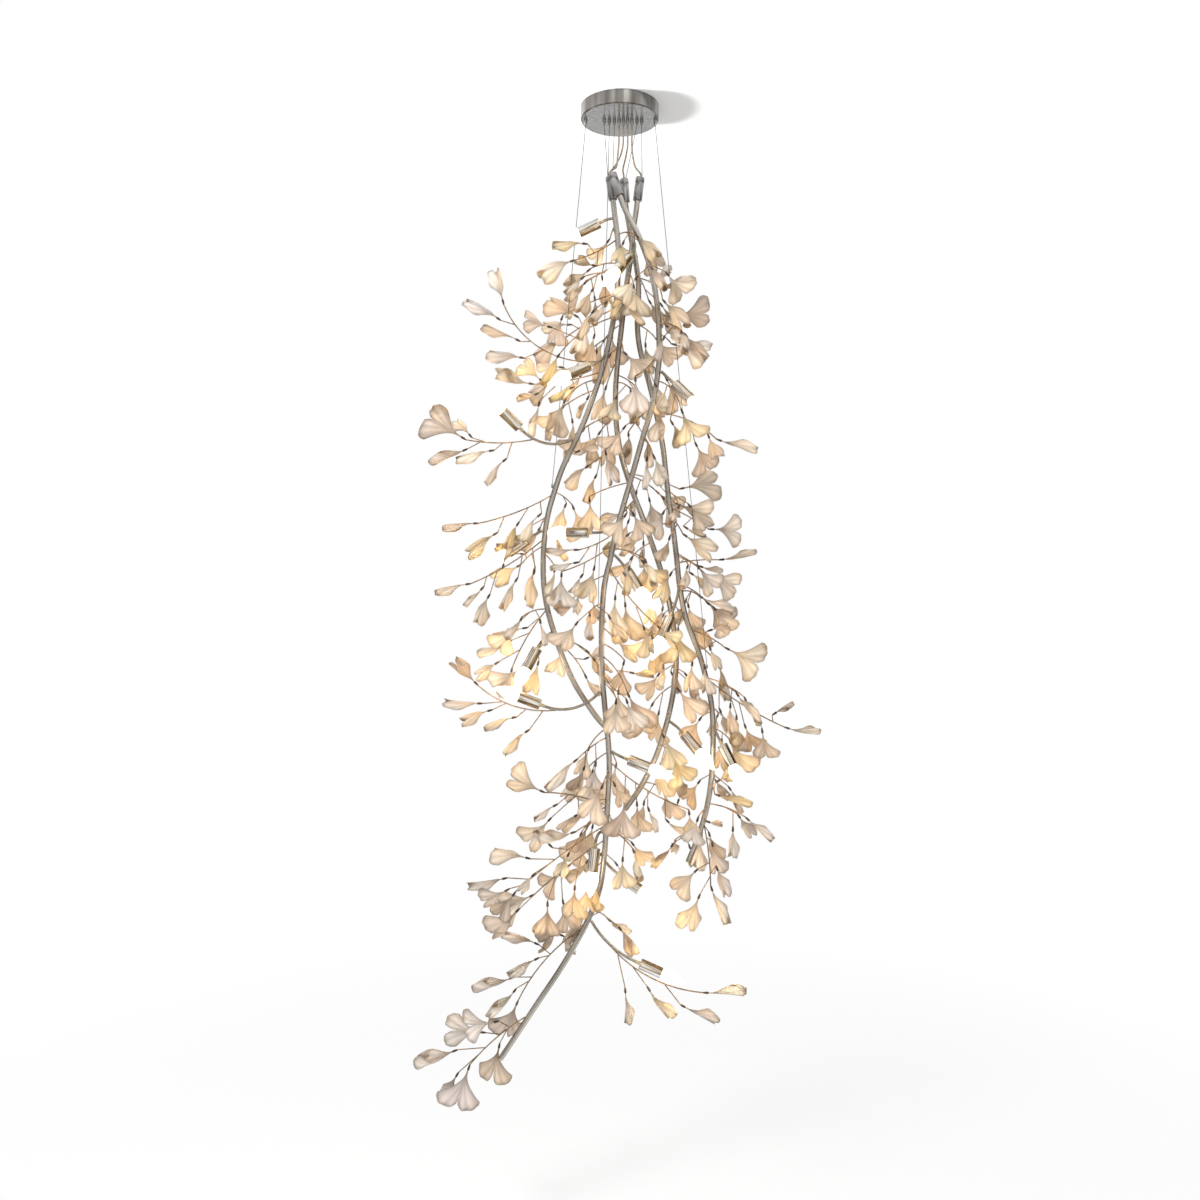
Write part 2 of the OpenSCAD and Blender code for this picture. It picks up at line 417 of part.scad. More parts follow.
// The index of the ring above the height z on a branch, and the place on its axis.
function span_at(p, z, i = 0) =
  i >= len(p) - 2 || seen_z(p[i + 1]) < z ? i : span_at(p, z, i + 1);
function tube_axis(b, z) = let (p = routes[b], i = span_at(p, z)) unit(p[i + 1] - p[i]);
function tube_point(b, z) =
  let (p = routes[b], i = span_at(p, z), za = seen_z(p[i]), zb = seen_z(p[i + 1]))
  mix(p[i], p[i + 1], (za - z) / (za - zb));

// Where a rod of radius r that sets off along way is brazed to a round of radius host_r.
function seat_on(c, axis, host_r, way, r) =
  let (w = unit(way - (way * axis) * axis))
  c + w * (host_r + seat + r * abs(unit(way) * axis));

module branch_tube(b) {
  color([0.76, 0.75, 0.72]) pipe(routes[b], tube_r, bore_r, tube_sides);
}

module branch_wiring(b) {
  color([0.9, 0.88, 0.8]) rod(axes[b], lead_r, lead_sides);
}

// ---------- lamps ----------

arm_bore_r = arm_r - 1;
arm_lead = 12; // the nipple's length behind the cup
nut_len = 4;
base_t = 3; // thickness of the cup's base
function lamp_base(i) = at(lamps[i][2]);
function lamp_way(i) = unit(at(lamps[i][3]) - at(lamps[i][2]));
function arm_end(i) = lamp_base(i) - lamp_way(i) * arm_lead;
// The arm's arc is found in passes, as its seat on the tube depends on its own direction.
function arm_pass(i, from, passes) =
  let (g = arriving_arc(from, arm_end(i), lamp_way(i)))
  passes == 0 ? g
  : arm_pass(i, seat_on(tube_point(lamps[i][0], lamps[i][1]),
                        tube_axis(lamps[i][0], lamps[i][1]), tube_r, arc_way(g, 0), arm_r),
             passes - 1);
arm_arcs = [for (i = [0 : len(lamps) - 1]) arm_pass(i, tube_point(lamps[i][0], lamps[i][1]), 5)];
function arm_arc(i) = arm_arcs[i];

module lamp_arms() {
  color([0.78, 0.77, 0.74]) for (i = [0 : len(lamps) - 1]) arc_rod(arm_arc(i), arm_r, arm_bore_r);
}

// A threaded nipple carries the cup on the end of its arm.
nipple_r = arm_r + 0.8;
nipple_top = base_t + gap + nut_len + 0.5;
module lamp_nipples() {
  color([0.72, 0.68, 0.56]) for (i = [0 : len(lamps) - 1]) at_lamp(i)
    translate([0, 0, seat - arm_lead]) ring_solid(nipple_r, arm_bore_r, nipple_top + arm_lead - seat);
}

module lamp_leads() {
  color([0.9, 0.88, 0.8]) for (i = [0 : len(lamps) - 1]) {
    arc_rod(arm_arc(i), 1.7);
    translate(arm_end(i)) sphere(r = 1.8);
    straight_rod(arm_end(i), lamp_base(i) + lamp_way(i) * (holder_from - 0.3), 1.7);
  }
}

module at_lamp(i) {
  place(lamp_base(i), lamp_way(i)) children();
}

module lamp_cups() {
  color([0.82, 0.83, 0.85])
    for (i = [0 : len(lamps) - 1]) at_lamp(i) difference() {
      cylinder(r = cup_d / 2, h = cup_len);
      translate([0, 0, base_t]) cylinder(r = cup_d / 2 - cup_wall, h = cup_len);
      translate([0, 0, -1]) cylinder(r = nipple_r + gap, h = base_t + 2);
    }
}

module arm_lock_nuts() {
  color([0.75, 0.7, 0.55])
    for (i = [0 : len(lamps) - 1]) at_lamp(i) translate([0, 0, base_t + gap]) difference() {
      cylinder(r = 7, h = nut_len, $fn = 6);
      translate([0, 0, -1]) cylinder(r = nipple_r + gap, h = nut_len + 2);
    }
}

holder_from = base_t + gap + nut_len + 1.2;
holder_len = 38;
screw_r = 6.9; // E14 thread over its crests
screw_len = 22;
module lamp_holders() {
  color([0.93, 0.92, 0.88])
    for (i = [0 : len(lamps) - 1]) at_lamp(i) translate([0, 0, holder_from]) difference() {
      cylinder(r = cup_d / 2 - cup_wall - gap, h = holder_len);
      translate([0, 0, holder_len - screw_len - 1.5]) cylinder(r = screw_r + gap, h = screw_len + 3);
    }
}

socket_from = holder_from + holder_len - screw_len - 1; // the bulb's contact end
module bulb_bases() {
  color([0.8, 0.76, 0.62])
    for (i = [0 : len(lamps) - 1]) at_lamp(i) translate([0, 0, socket_from]) {
      cylinder(r1 = 2.5, r2 = 5.5, h = 3);
      translate([0, 0, 3]) cylinder(r = screw_r, h = screw_len - 3);
    }
}

glass_from = socket_from + screw_len + 0.1;
glass_t = 1;
// The candle bulb's outline: height and share of the widest radius.
candle = [[0, 0.36], [5, 0.44], [12, 0.6], [20, 0.82], [28, 0.96], [34, 1], [41, 0.95],
          [50, 0.78], [60, 0.52], [68, 0.3], [74, 0.12], [76, 0]];
module candle_solid(inset) {
  rotate_extrude() polygon(concat([[0, inset]], [for (q = candle)
    [max(q[1] * bulb_d / 2 - inset, 0), min(max(q[0], inset), 76 - inset)]]));
}
module bulb_glass() {
  color([1, 0.96, 0.85])
    for (i = [0 : len(lamps) - 1]) at_lamp(i) translate([0, 0, glass_from]) difference() {
      candle_solid(0);
      candle_solid(glass_t);
    }
}

module bulb_filaments() {
  color([1, 0.85, 0.5])
    for (i = [0 : len(lamps) - 1]) at_lamp(i) translate([0, 0, glass_from + glass_t + 0.1])
      cylinder(r = 3.5, h = 48);
}

// ---------- twigs, ferrules and leaves ----------

stalk_half = 1.1; // half the width of a leaf's stalk
pin_len = 5; // depth of a leaf's stalk in its ferrule
twig_r = twig_d / 2;
shoot_r = shoot_d / 2;
ferrule_bore_r = norm([leaf_t / 2, stalk_half]) + leaf_t * 0.25;

// A leaf is [ferrule centre, tip, roll].
function tip_leaf(s) =
  let (f = s[2], t = s[4]) [at(f), at([t[0], t[1], f[2] + t[2]]), t[3]];
// Where a rod of radius r that arrives along way is brazed to the back of a leaf's ferrule.
function rod_end(leaf, way, r) =
  let (u = unit(leaf[1] - leaf[0]), c = unit(way) * u)
  leaf[0] - u * (ferrule_len / 2 + seat + r * sqrt(max(1 - c * c, 0)));
function host_point(s) = s[0] < 10 ? tube_point(s[0], s[1]) : arc_point(arm_arc(s[0] - 10), s[1]);
function host_axis(s) = s[0] < 10 ? tube_axis(s[0], s[1]) : arc_way(arm_arc(s[0] - 10), s[1]);
function host_r(s) = s[0] < 10 ? tube_r : arm_r;
function stem_pass(s, from, to, passes) =
  let (g = bow_arc(from, to, s[3]))
  passes == 0 ? g
  : stem_pass(s, seat_on(host_point(s), host_axis(s), host_r(s), arc_way(g, 0), twig_r),
              rod_end(tip_leaf(s), arc_way(g, 1), twig_r), passes - 1);
function stem_arc(s) = stem_pass(s, host_point(s), tip_leaf(s)[0], 4);
function side_leaf(s, q) =
  let (y = arc_point(stem_arc(s), q[0])[1] + q[5])
  [at([q[1], q[2], y]), at([q[3], q[4], y + q[5] / 2]), q[6]];
function leaves_of(s) = concat([tip_leaf(s)], [for (q = s[5]) side_leaf(s, q)]);

// The two ends of a shoot: brazed to the stem at c, where it runs along a, and to a ferrule.
function shoot_pass(leaf, c, a, from, to, passes) =
  passes == 0 ? [from, to]
  : shoot_pass(leaf, c, a, seat_on(c, a, twig_r, to - from, shoot_r),
               rod_end(leaf, to - from, shoot_r), passes - 1);

module twig(s) {
  g = stem_arc(s);
  arc_rod(g, twig_r);
  for (q = s[5]) {
    leaf = side_leaf(s, q);
    c = arc_point(g, q[0]);
    ends = shoot_pass(leaf, c, arc_way(g, q[0]), c, leaf[0], 4);
    straight_rod(ends[0], ends[1], shoot_r);
  }
}

// A cap with a closed back: the twig is brazed to it, and the leaf's stalk is glued in.
module ferrule(leaf) {
  u = unit(leaf[1] - leaf[0]);
  place(leaf[0] - u * ferrule_len / 2, u) difference() {
    cylinder(r = ferrule_d / 2, h = ferrule_len);
    translate([0, 0, ferrule_len - pin_len - seat]) cylinder(r = ferrule_bore_r, h = ferrule_len);
  }
}

// Half of the leaf's outline beyond its stalk: share of its length, share of its half width.
leaf_half = [[0.3, 0.09], [0.56, 0.48], [0.77, 0.96], [0.87, 1], [1, 0.45], [0.9, 0.04]];
function leaf_outline(l) =
  let (w = l * leaf_fullness / 2)
  let (edge = [for (q = leaf_half) [q[0] * l, q[1] * w + (1 - q[1]) * stalk_half]])
  concat([[0, -0.4], [0, stalk_half]], edge, [[edge[len(edge) - 1][0], -0.4]]);

// A leaf is two flat lobes that meet at a fold along its length.
module leaf(d) {
  u = unit(d[1] - d[0]);
  base = d[0] + u * (ferrule_len / 2 - pin_len);
  facing = unit([0, -1, 0] + u[1] * u);
  n = facing * cos(d[2]) + cross(u, facing) * sin(d[2]);
  side = cross(n, u);
  multmatrix([[u[0], side[0], n[0], base[0]], [u[1], side[1], n[1], base[1]],
              [u[2], side[2], n[2], base[2]]])
    for (m = [0, 1]) mirror([0, m, 0]) rotate([d[2] % 2 == 0 ? -leaf_fold : leaf_fold, 0, 0])
      translate([0, 0, -leaf_t / 2]) linear_extrude(leaf_t) polygon(leaf_outline(norm(d[1] - base)));
}

// Short twigs that fill a branch towards the front and the back in turn:
// [highest, lowest, step, twigs left out].
fill = [[-415, -2080, 72, [1, 3, 4, 6, 7, 8, 9, 13, 14, 15, 16, 17, 18, 22]],
        [-330, -1560, 80, [3, 4, 6, 7, 8, 10, 11, 14, 15]],
        [-390, -1760, 80, [0, 1, 2, 3, 6, 8, 9, 10, 12, 14, 15, 16, 17]],
        [-350, -1880, 80, [0, 2, 3, 4, 5, 6, 7, 12, 13, 16]]];
function around(a, r, drop) = [r * cos(a), r * sin(a), -drop];
function seen(p) =
  let (k = 1 - p[1] / eye[1])
  [eye[0] + (p[0] - eye[0]) / k, eye[2] + (p[2] - eye[2]) / k, p[1]];
function fill_side(c, f, share, a, drop, roll) =
  let (m = mix(c, f, share), p = m + around(a, 44, drop), t = p + around(a, 46, 62))
  [share, seen(p)[0], seen(p)[1], seen(t)[0], seen(t)[1], 44 * sin(a), roll];
function fill_twig(b, k, z) =
  let (a = (k % 2 == 0 ? -90 : 90) + 55 * sin(77 * k + 40 * b), c = tube_point(b, z))
  let (f = c + around(a, 84 + 18 * ((3 * k) % 4), 26 + 10 * (k % 3)), turn = k % 3 == 0 ? 30 : -30)
  let (t = f + around(a + turn, 60, 56))
  [b, z, seen(f), 6, [seen(t)[0], seen(t)[1], t[1] - f[1], (37 * k) % 75],
   [fill_side(c, f, 0.42, a + 65, 20, (29 * k) % 70),
    fill_side(c, f, 0.66, a - 60, 30, (53 * k) % 70)]];
function fillers(b) = [
  for (k = [0 : floor((fill[b][0] - fill[b][1]) / fill[b][2])])
    if (len([for (q = fill[b][3]) if (q == k) q]) == 0) fill_twig(b, k, fill[b][0] - k * fill[b][2])];
twig_sets = [concat(front_twigs, fillers(0)), concat(left_twigs, fillers(1)),
             concat(rear_twigs, fillers(2)), concat(right_twigs, fillers(3))];

module twigs(b) {
  color([0.5, 0.42, 0.3]) for (s = twig_sets[b]) twig(s);
}
module ferrules(b) {
  color([0.16, 0.13, 0.1]) for (s = twig_sets[b], d = leaves_of(s)) ferrule(d);
}
module leaves(b) {
  color([0.93, 0.84, 0.74]) for (s = twig_sets[b], d = leaves_of(s)) leaf(d);
}

// ---------- caps, wires and cords ----------

cap_top_t = 6;
cap_above = 20; // from the tube's upper end to the cap's top
function cap_way(b) = unit(routes[b][1] - routes[b][0]);
function cap_top(b) = routes[b][0] - cap_way(b) * cap_above;
wire_seat_r = 5.5; // from the cap's axis to its wire hole
function wire_foot(w) =
  cap_top(w[1])
  + unit(cross(cap_way(w[1]), cap_top(w[1]) - wire_top(w[0]))) * w[2] * wire_seat_r;

module branch_caps() {
  color([0.72, 0.71, 0.68]) for (b = [0 : 3]) difference() {
    place(cap_top(b), cap_way(b)) difference() {
      cylinder(r = cap_d / 2, h = cap_len);
      translate([0, 0, cap_above - 1]) cylinder(r = tube_r + 0.4, h = cap_len);
      translate([0, 0, cap_top_t]) cylinder(r = cap_d / 2 - 1.5, h = cap_above - cap_top_t - 0.5);
      translate([0, 0, -1]) cylinder(r = cord_d / 2 + gap, h = cap_top_t + 2);
      translate([0, -cap_d, cap_len - 12]) rotate([-90, 0, 0]) cylinder(r = 2.1, h = cap_d);
    }
    for (w = cap_wires) if (w[1] == b) {
      u = unit(wire_foot(w) - wire_top(w[0]));
      straight_rod(wire_foot(w) - u * 4, wire_foot(w) + u * 12, wire_r + 0.4);
    }
  }
}

module cap_grub_screws() {
  color([0.5, 0.5, 0.5]) for (b = [0 : 3]) place(cap_top(b), cap_way(b))
    translate([0, -cap_d / 2 + 0.1, cap_len - 12]) rotate([-90, 0, 0])
      cylinder(r = 2, h = cap_d / 2 - tube_r - 0.4);
}

lug_r = 2.8;
function wire_top(x) = [x, 0, exit_z];
function lug_at(w) =
  let (c = tube_point(w[1], w[2]), a = tube_axis(w[1], w[2]))
  c + unit([w[3], 0, 0] - w[3] * a[0] * a) * (tube_r + lug_r + 0.5);
// A wire ends in a swaged sleeve under the lug or inside the cap: [wire's top, sleeve's top].
stop_r = 1.9;
stop_len = 4;
lug_len = 5;
function past(top, foot, more) = foot + unit(foot - top) * more;
function wire_ends() = concat(
  [for (w = long_wires) [wire_top(w[0]), past(wire_top(w[0]), lug_at(w), lug_len / 2 + seat)]],
  [for (w = cap_wires) let (u = unit(wire_foot(w) - wire_top(w[0])))
    [wire_top(w[0]), past(wire_top(w[0]), wire_foot(w), cap_top_t / (u * cap_way(w[1])) + 1.2)]]);

module suspension_wires() {
  color([0.7, 0.7, 0.7]) for (w = wire_ends()) {
    u = unit(w[1] - w[0]);
    straight_rod(w[0] + u * 0.3, w[1] + u * (stop_len + 0.5), wire_r);
  }
}

module wire_stops() {
  color([0.6, 0.6, 0.6]) for (w = wire_ends())
    place(w[1], unit(w[1] - w[0])) ring_solid(stop_r, wire_r + 0.02, stop_len);
}

// A lug on the branch: a short sleeve round the wire, brazed to the tube.
module wire_lugs() {
  color([0.76, 0.75, 0.72]) for (w = long_wires) {
    u = unit(lug_at(w) - wire_top(w[0]));
    place(lug_at(w) - u * lug_len / 2, u) ring_solid(lug_r, wire_r + 0.3, lug_len);
  }
}

module power_cord(k) {
  w = cord_ways[k];
  u = cap_way(w[1]);
  foot = cap_top(w[1]);
  way = concat([[w[0], 0, exit_z - 0.3], [w[0], 0, exit_z - 8]], [for (q = w[2]) at(q)],
               [foot - u * 10, foot, foot + u * (cap_above - 0.3)]);
  color([0.6, 0.5, 0.36]) rod(smooth(way, 2), cord_d / 2, lead_sides);
}

// ---------- canopy ----------

bracket_w = 24;
bracket_t = 2;
bracket_len = canopy_d - 2 * canopy_wall - 6;
tab_h = 16;
screw_hole_z = -10; // the side screws' height
module ceiling_bracket() {
  color([0.7, 0.72, 0.74]) difference() {
    union() {
      translate([-bracket_len / 2, -bracket_w / 2, -bracket_t]) cube([bracket_len, bracket_w, bracket_t]);
      for (m = [0, 1]) mirror([m, 0, 0])
        translate([bracket_len / 2 - bracket_t, -bracket_w / 2, -tab_h])
          cube([bracket_t, bracket_w, tab_h]);
    }
    for (x = [-0.5, 0.5]) translate([x * ceiling_screw_spacing, 0, -bracket_t - 1])
      cylinder(r = ceiling_hole_d / 2, h = bracket_t + 2);
    translate([0, 0, -bracket_t - 1]) cylinder(r = 8, h = bracket_t + 2);
    for (m = [0, 1]) mirror([m, 0, 0]) translate([0, 0, screw_hole_z]) rotate([0, 90, 0])
      cylinder(r = 2 + gap, h = canopy_d);
  }
}

gripper_xs = concat([for (w = long_wires) w[0]], [for (w = cap_wires) w[0]]);
gland_xs = [for (w = cord_ways) w[0]];
stud_r = 3;
module canopy_cover() {
  color([0.8, 0.81, 0.83]) difference() {
    translate([0, 0, -canopy_h]) cylinder(r = canopy_d / 2, h = canopy_h);
    translate([0, 0, -canopy_h + canopy_wall])
      cylinder(r = canopy_d / 2 - canopy_wall, h = canopy_h);
    for (x = concat(gripper_xs, gland_xs)) translate([x, 0, -canopy_h - 1])
      cylinder(r = stud_r + gap, h = canopy_wall + 2);
    for (m = [0, 1]) mirror([m, 0, 0]) translate([canopy_d / 2 + 0.1, 0, screw_hole_z])
      rotate([0, -90, 0]) {
        cylinder(r1 = 4, r2 = 2 + gap, h = 1.5 + 0.35);
        cylinder(r = 2 + gap, h = 20);
      }
  }
}

// Countersunk screws, flush with the canopy's side.
module canopy_side_screws() {
  color([0.75, 0.75, 0.76]) for (m = [0, 1]) mirror([m, 0, 0])
    translate([canopy_d / 2 - 0.1, 0, screw_hole_z]) rotate([0, -90, 0]) {
      cylinder(r1 = 3.5, r2 = 2, h = 1.5);
      cylinder(r = 2, h = (canopy_d - bracket_len) / 2 + bracket_t + 4);
    }
}

// A terminal block stands on the cover's floor behind the row of grippers.
block = [46, 18, 14];
block_at = [-23, 34, -canopy_h + canopy_wall];
module terminal_block() {
  color([0.92, 0.92, 0.9]) translate(block_at) difference() {
    cube(block);
    for (i = [0 : 4]) translate([7 + 8 * i, block[1] / 2, 4]) cylinder(r = 2 + gap, h = block[2]);
  }
}

module terminal_screws() {
  color([0.75, 0.7, 0.5]) for (i = [0 : 4])
    translate(block_at + [7 + 8 * i, block[1] / 2, 4.1]) cylinder(r = 2, h = block[2] - 6);
}

// Leads from the terminal block to the glands, inside the canopy.
module inner_leads() {
  color([0.55, 0.45, 0.33]) for (k = [0 : len(gland_xs) - 1]) {
    x = gland_xs[k];
    z = -canopy_h + canopy_wall;
    from = block_at[0] + 8 + 10 * k;
    rod([[from, block_at[1] - 0.3, z + 6], [from, 26, z + 6], [mix(from, x, 0.1), 21, z + 8],
         [mix(from, x, 0.4), 18, z + 13], [mix(from, x, 0.7), 15, z + 19],
         [mix(from, x, 0.9), 10, z + 23], [x, 5, z + 22], [x, 1.5, z + 18], [x, 0, z + 13],
         [x, 0, z + 2]], 1.9, lead_sides, [1, 0, 0]);
  }
}

nozzle_d = 5.6;
nozzle_len = 6;
gripper_len = exit_drop - nozzle_len;
stud_up = canopy_wall + 6;
module gripper_bodies() {
  color([0.8, 0.8, 0.82]) for (x = gripper_xs) translate([x, 0, -canopy_h - gripper_len]) difference() {
    union() {
      cylinder(r = gripper_d / 2, h = gripper_len - 0.05);
      cylinder(r = stud_r, h = gripper_len + stud_up);
    }
    translate([0, 0, -1]) cylinder(r = nozzle_d / 2 + 0.1, h = 6.5);
    translate([0, 0, -1]) cylinder(r = wire_r + 0.3, h = 60);
  }
}

module gripper_nuts() {
  color([0.75, 0.72, 0.62]) for (x = gripper_xs)
    translate([x, 0, -canopy_h + canopy_wall + 0.05]) difference() {
      cylinder(r = 5.2, h = 4, $fn = 6);
      translate([0, 0, -1]) cylinder(r = stud_r + 0.1, h = 6);
    }
}

// The release nozzle: a sleeve round the wire that is pushed up into the gripper.
module nozzle(x) {
  color([0.85, 0.85, 0.86]) translate([x, 0, exit_z]) difference() {
    cylinder(r = nozzle_d / 2, h = nozzle_len + 3.2);
    translate([0, 0, -1]) cylinder(r = wire_r + 0.3, h = 20);
  }
}

// The upper ends of the wires, held in the grippers with a tail in the canopy.
module wire_tails() {
  color([0.7, 0.7, 0.7]) for (x = gripper_xs)
    translate([x, 0, exit_z + 0.05]) cylinder(r = wire_r, h = exit_drop + 22);
}

module cord_glands() {
  color([0.25, 0.24, 0.23]) for (x = gland_xs) translate([x, 0, exit_z]) difference() {
    union() {
      cylinder(r1 = gland_d / 2 - 1.2, r2 = gland_d / 2, h = 8);
      translate([0, 0, 8]) cylinder(r = gland_d / 2, h = exit_drop - 8.05);
      translate([0, 0, 8]) cylinder(r = stud_r, h = exit_drop - 8 + stud_up);
    }
    translate([0, 0, 6]) cylinder(r = 1.9 + gap, h = 60);
  }
}

module gland_nuts() {
  color([0.25, 0.24, 0.23]) for (x = gland_xs)
    translate([x, 0, -canopy_h + canopy_wall + 0.05]) difference() {
      cylinder(r = 5.2, h = 4, $fn = 6);
      translate([0, 0, -1]) cylinder(r = stud_r + 0.1, h = 6);
    }
}

module tube_end_plugs() {
  color([0.5, 0.45, 0.38]) for (b = [0 : 3]) {
    p = routes[b];
    n = len(p) - 1;
    place(p[n], axis_at(p, n)) translate([0, 0, seat]) cylinder(r = tube_r, h = 4);
  }
}

ceiling_bracket();
canopy_cover();
canopy_side_screws();
terminal_block();
terminal_screws();
inner_leads();
gripper_bodies();
gripper_nuts();
wire_tails();
cord_glands();
gland_nuts();
nozzle(gripper_xs[0]);  // nozzle_left
nozzle(gripper_xs[1]);  // nozzle_right
nozzle(gripper_xs[2]);  // nozzle_long
nozzle(gripper_xs[3]);  // nozzle_cap_left
nozzle(gripper_xs[4]);  // nozzle_cap_front
nozzle(gripper_xs[5]);  // nozzle_cap_rear
nozzle(gripper_xs[6]);  // nozzle_cap_right
suspension_wires();
wire_stops();
wire_lugs();
power_cord(0);  // power_cord_front
power_cord(1);  // power_cord_left
power_cord(2);  // power_cord_right
power_cord(3);  // power_cord_rear
branch_caps();
cap_grub_screws();
branch_tube(0);  // front_branch_tube
branch_tube(1);  // left_branch_tube
branch_tube(2);  // rear_branch_tube
branch_tube(3);  // right_branch_tube
branch_wiring(0);  // front_branch_wiring
branch_wiring(1);  // left_branch_wiring
branch_wiring(2);  // rear_branch_wiring
branch_wiring(3);  // right_branch_wiring
tube_end_plugs();
twigs(0);  // front_twigs
twigs(1);  // left_twigs
twigs(2);  // rear_twigs
twigs(3);  // right_twigs
ferrules(0);  // front_ferrules
ferrules(1);  // left_ferrules
ferrules(2);  // rear_ferrules
ferrules(3);  // right_ferrules
leaves(0);  // front_leaves
leaves(1);  // left_leaves
leaves(2);  // rear_leaves
leaves(3);  // right_leaves
lamp_arms();
lamp_nipples();
lamp_leads();
arm_lock_nuts();
lamp_cups();
lamp_holders();
bulb_bases();
bulb_glass();
bulb_filaments();
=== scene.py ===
"""Looks of the branch chandelier: materials, lit bulbs, porcelain leaves and a studio."""
import math

import bpy
import numpy as np
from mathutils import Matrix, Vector


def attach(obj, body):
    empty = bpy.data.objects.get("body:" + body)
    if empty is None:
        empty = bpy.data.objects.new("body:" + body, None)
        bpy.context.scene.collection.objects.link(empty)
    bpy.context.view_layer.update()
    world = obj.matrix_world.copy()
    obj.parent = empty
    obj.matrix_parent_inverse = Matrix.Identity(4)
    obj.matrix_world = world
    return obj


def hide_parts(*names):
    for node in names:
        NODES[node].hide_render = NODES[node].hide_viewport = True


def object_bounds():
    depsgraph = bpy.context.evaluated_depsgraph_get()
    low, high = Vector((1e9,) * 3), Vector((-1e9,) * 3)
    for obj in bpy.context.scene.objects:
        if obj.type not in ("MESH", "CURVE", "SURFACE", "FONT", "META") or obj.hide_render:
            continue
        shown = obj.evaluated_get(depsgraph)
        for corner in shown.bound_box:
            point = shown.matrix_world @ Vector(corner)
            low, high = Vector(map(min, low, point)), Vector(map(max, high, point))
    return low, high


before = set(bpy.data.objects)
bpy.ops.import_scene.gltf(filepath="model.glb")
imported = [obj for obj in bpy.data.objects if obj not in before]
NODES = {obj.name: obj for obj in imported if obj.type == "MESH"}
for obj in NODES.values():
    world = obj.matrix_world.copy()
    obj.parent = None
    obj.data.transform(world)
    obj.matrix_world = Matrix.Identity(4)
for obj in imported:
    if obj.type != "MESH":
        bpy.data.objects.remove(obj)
cad_box = [[float(x) for x in corner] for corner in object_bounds()]
scene = bpy.context.scene
MM = 0.001
BRANCHES = ["front", "left", "rear", "right"]
rng = np.random.default_rng(7)

# ---------- camera ----------

EYE = np.array([-51.0, -2790.0, -1268.0])  # mm
camera_data = bpy.data.cameras.new("camera")
camera_data.lens = 32.55
camera_data.sensor_width = 36.0
camera_data.clip_end = 60
camera = bpy.data.objects.new("camera", camera_data)
camera.location = EYE * MM
camera.rotation_euler = (math.radians(90), 0, 0)
scene.collection.objects.link(camera)
scene.camera = camera

# ---------- routes, as in the part's source ----------

# the branches: [x, z] as seen on the plane y = 0, then the true depth y, in mm
ROUTES = {
    "front": [
        [-13, -191, -24], [-2, -222, -26], [10, -256, -28], [27, -290, -32], [45, -325, -36],
        [64, -370, -42], [80, -420, -48], [92, -480, -54], [99, -540, -60], [101, -600, -64],
        [101, -650, -66], [92, -725, -68], [79, -785, -68], [62, -840, -66], [45, -900, -63],
        [28, -960, -60], [12, -1015, -57], [-3, -1068, -54], [-15, -1115, -51],
        [-25, -1165, -48], [-36, -1210, -46], [-43, -1260, -44], [-47, -1350, -42],
        [-46, -1450, -42], [-38, -1550, -42], [-30, -1630, -42], [-27, -1700, -42],
        [-31, -1782, -40], [-35, -1850, -38], [-40, -1925, -36], [-51, -2005, -30],
        [-77, -2080, -24], [-116, -2155, -18], [-158, -2225, -12], [-206, -2296, -6],
        [-257, -2373, 0], [-305, -2445, 6]],
    "left": [
        [-23, -200, 12], [-18, -236, 12], [-14, -272, 12], [-9, -310, 12], [-5, -350, 12],
        [-5, -410, 10], [-7, -480, 8], [-17, -550, 6], [-27, -600, 4], [-37, -645, 2],
        [-50, -690, 0], [-68, -745, -2], [-88, -800, -5], [-117, -865, -8], [-148, -930, -10],
        [-170, -995, -10], [-184, -1045, -10], [-192, -1095, -10], [-197, -1160, -10],
        [-195, -1235, -8], [-184, -1300, -5], [-168, -1355, 0], [-147, -1415, 4],
        [-118, -1480, 6], [-85, -1533, 6], [-55, -1575, 4], [-24, -1606, 0]],
    "rear": [
        [50, -202, 22], [46, -235, 22], [42, -268, 22], [37, -300, 23], [33, -335, 24],
        [29, -380, 26], [20, -440, 30], [12, -500, 36], [4, -570, 44], [-4, -640, 50],
        [-10, -710, 56], [-11, -780, 60], [-5, -850, 62], [10, -920, 62], [33, -990, 60],
        [60, -1060, 56], [85, -1130, 52], [108, -1200, 48], [127, -1275, 44], [140, -1350, 38],
        [145, -1420, 32], [141, -1480, 28], [131, -1540, 24], [116, -1600, 20],
        [93, -1670, 16], [56, -1745, 12], [15, -1804, 8]],
    "right": [
        [12, -206, 46], [14.5, -240, 46], [18, -272, 46], [25, -310, 47], [32, -355, 48],
        [41, -400, 50], [47, -445, 50], [48, -500, 50], [45, -550, 50], [48, -600, 48],
        [58, -650, 46], [74, -705, 42], [92, -780, 36], [110, -870, 30], [118, -940, 26],
        [126, -1010, 22], [137, -1085, 18], [146, -1160, 14], [154, -1234, 10],
        [170, -1314, 6], [200, -1395, 2], [222, -1470, 0], [236, -1540, 0], [240, -1620, 0],
        [236, -1720, 2], [224, -1800, 4], [204, -1870, 6], [177, -1938, 8]]}
# the power cords: x of the gland, then the points between gland and cap
CORDS = {
    "front": [-2, [[-2, -75, 0], [-3, -100, -3], [-6, -130, -8], [-9, -155, -14]]],
    "left": [9, [[9, -75, 0], [8, -100, 3], [0, -130, 9], [-15, -155, 12]]],
    "right": [20, [[20, -75, 0], [20, -100, 8], [15, -130, 22], [8, -160, 36]]],
    "rear": [31, [[31, -75, 0], [31, -100, 3], [34, -130, 9], [40, -155, 15]]]}

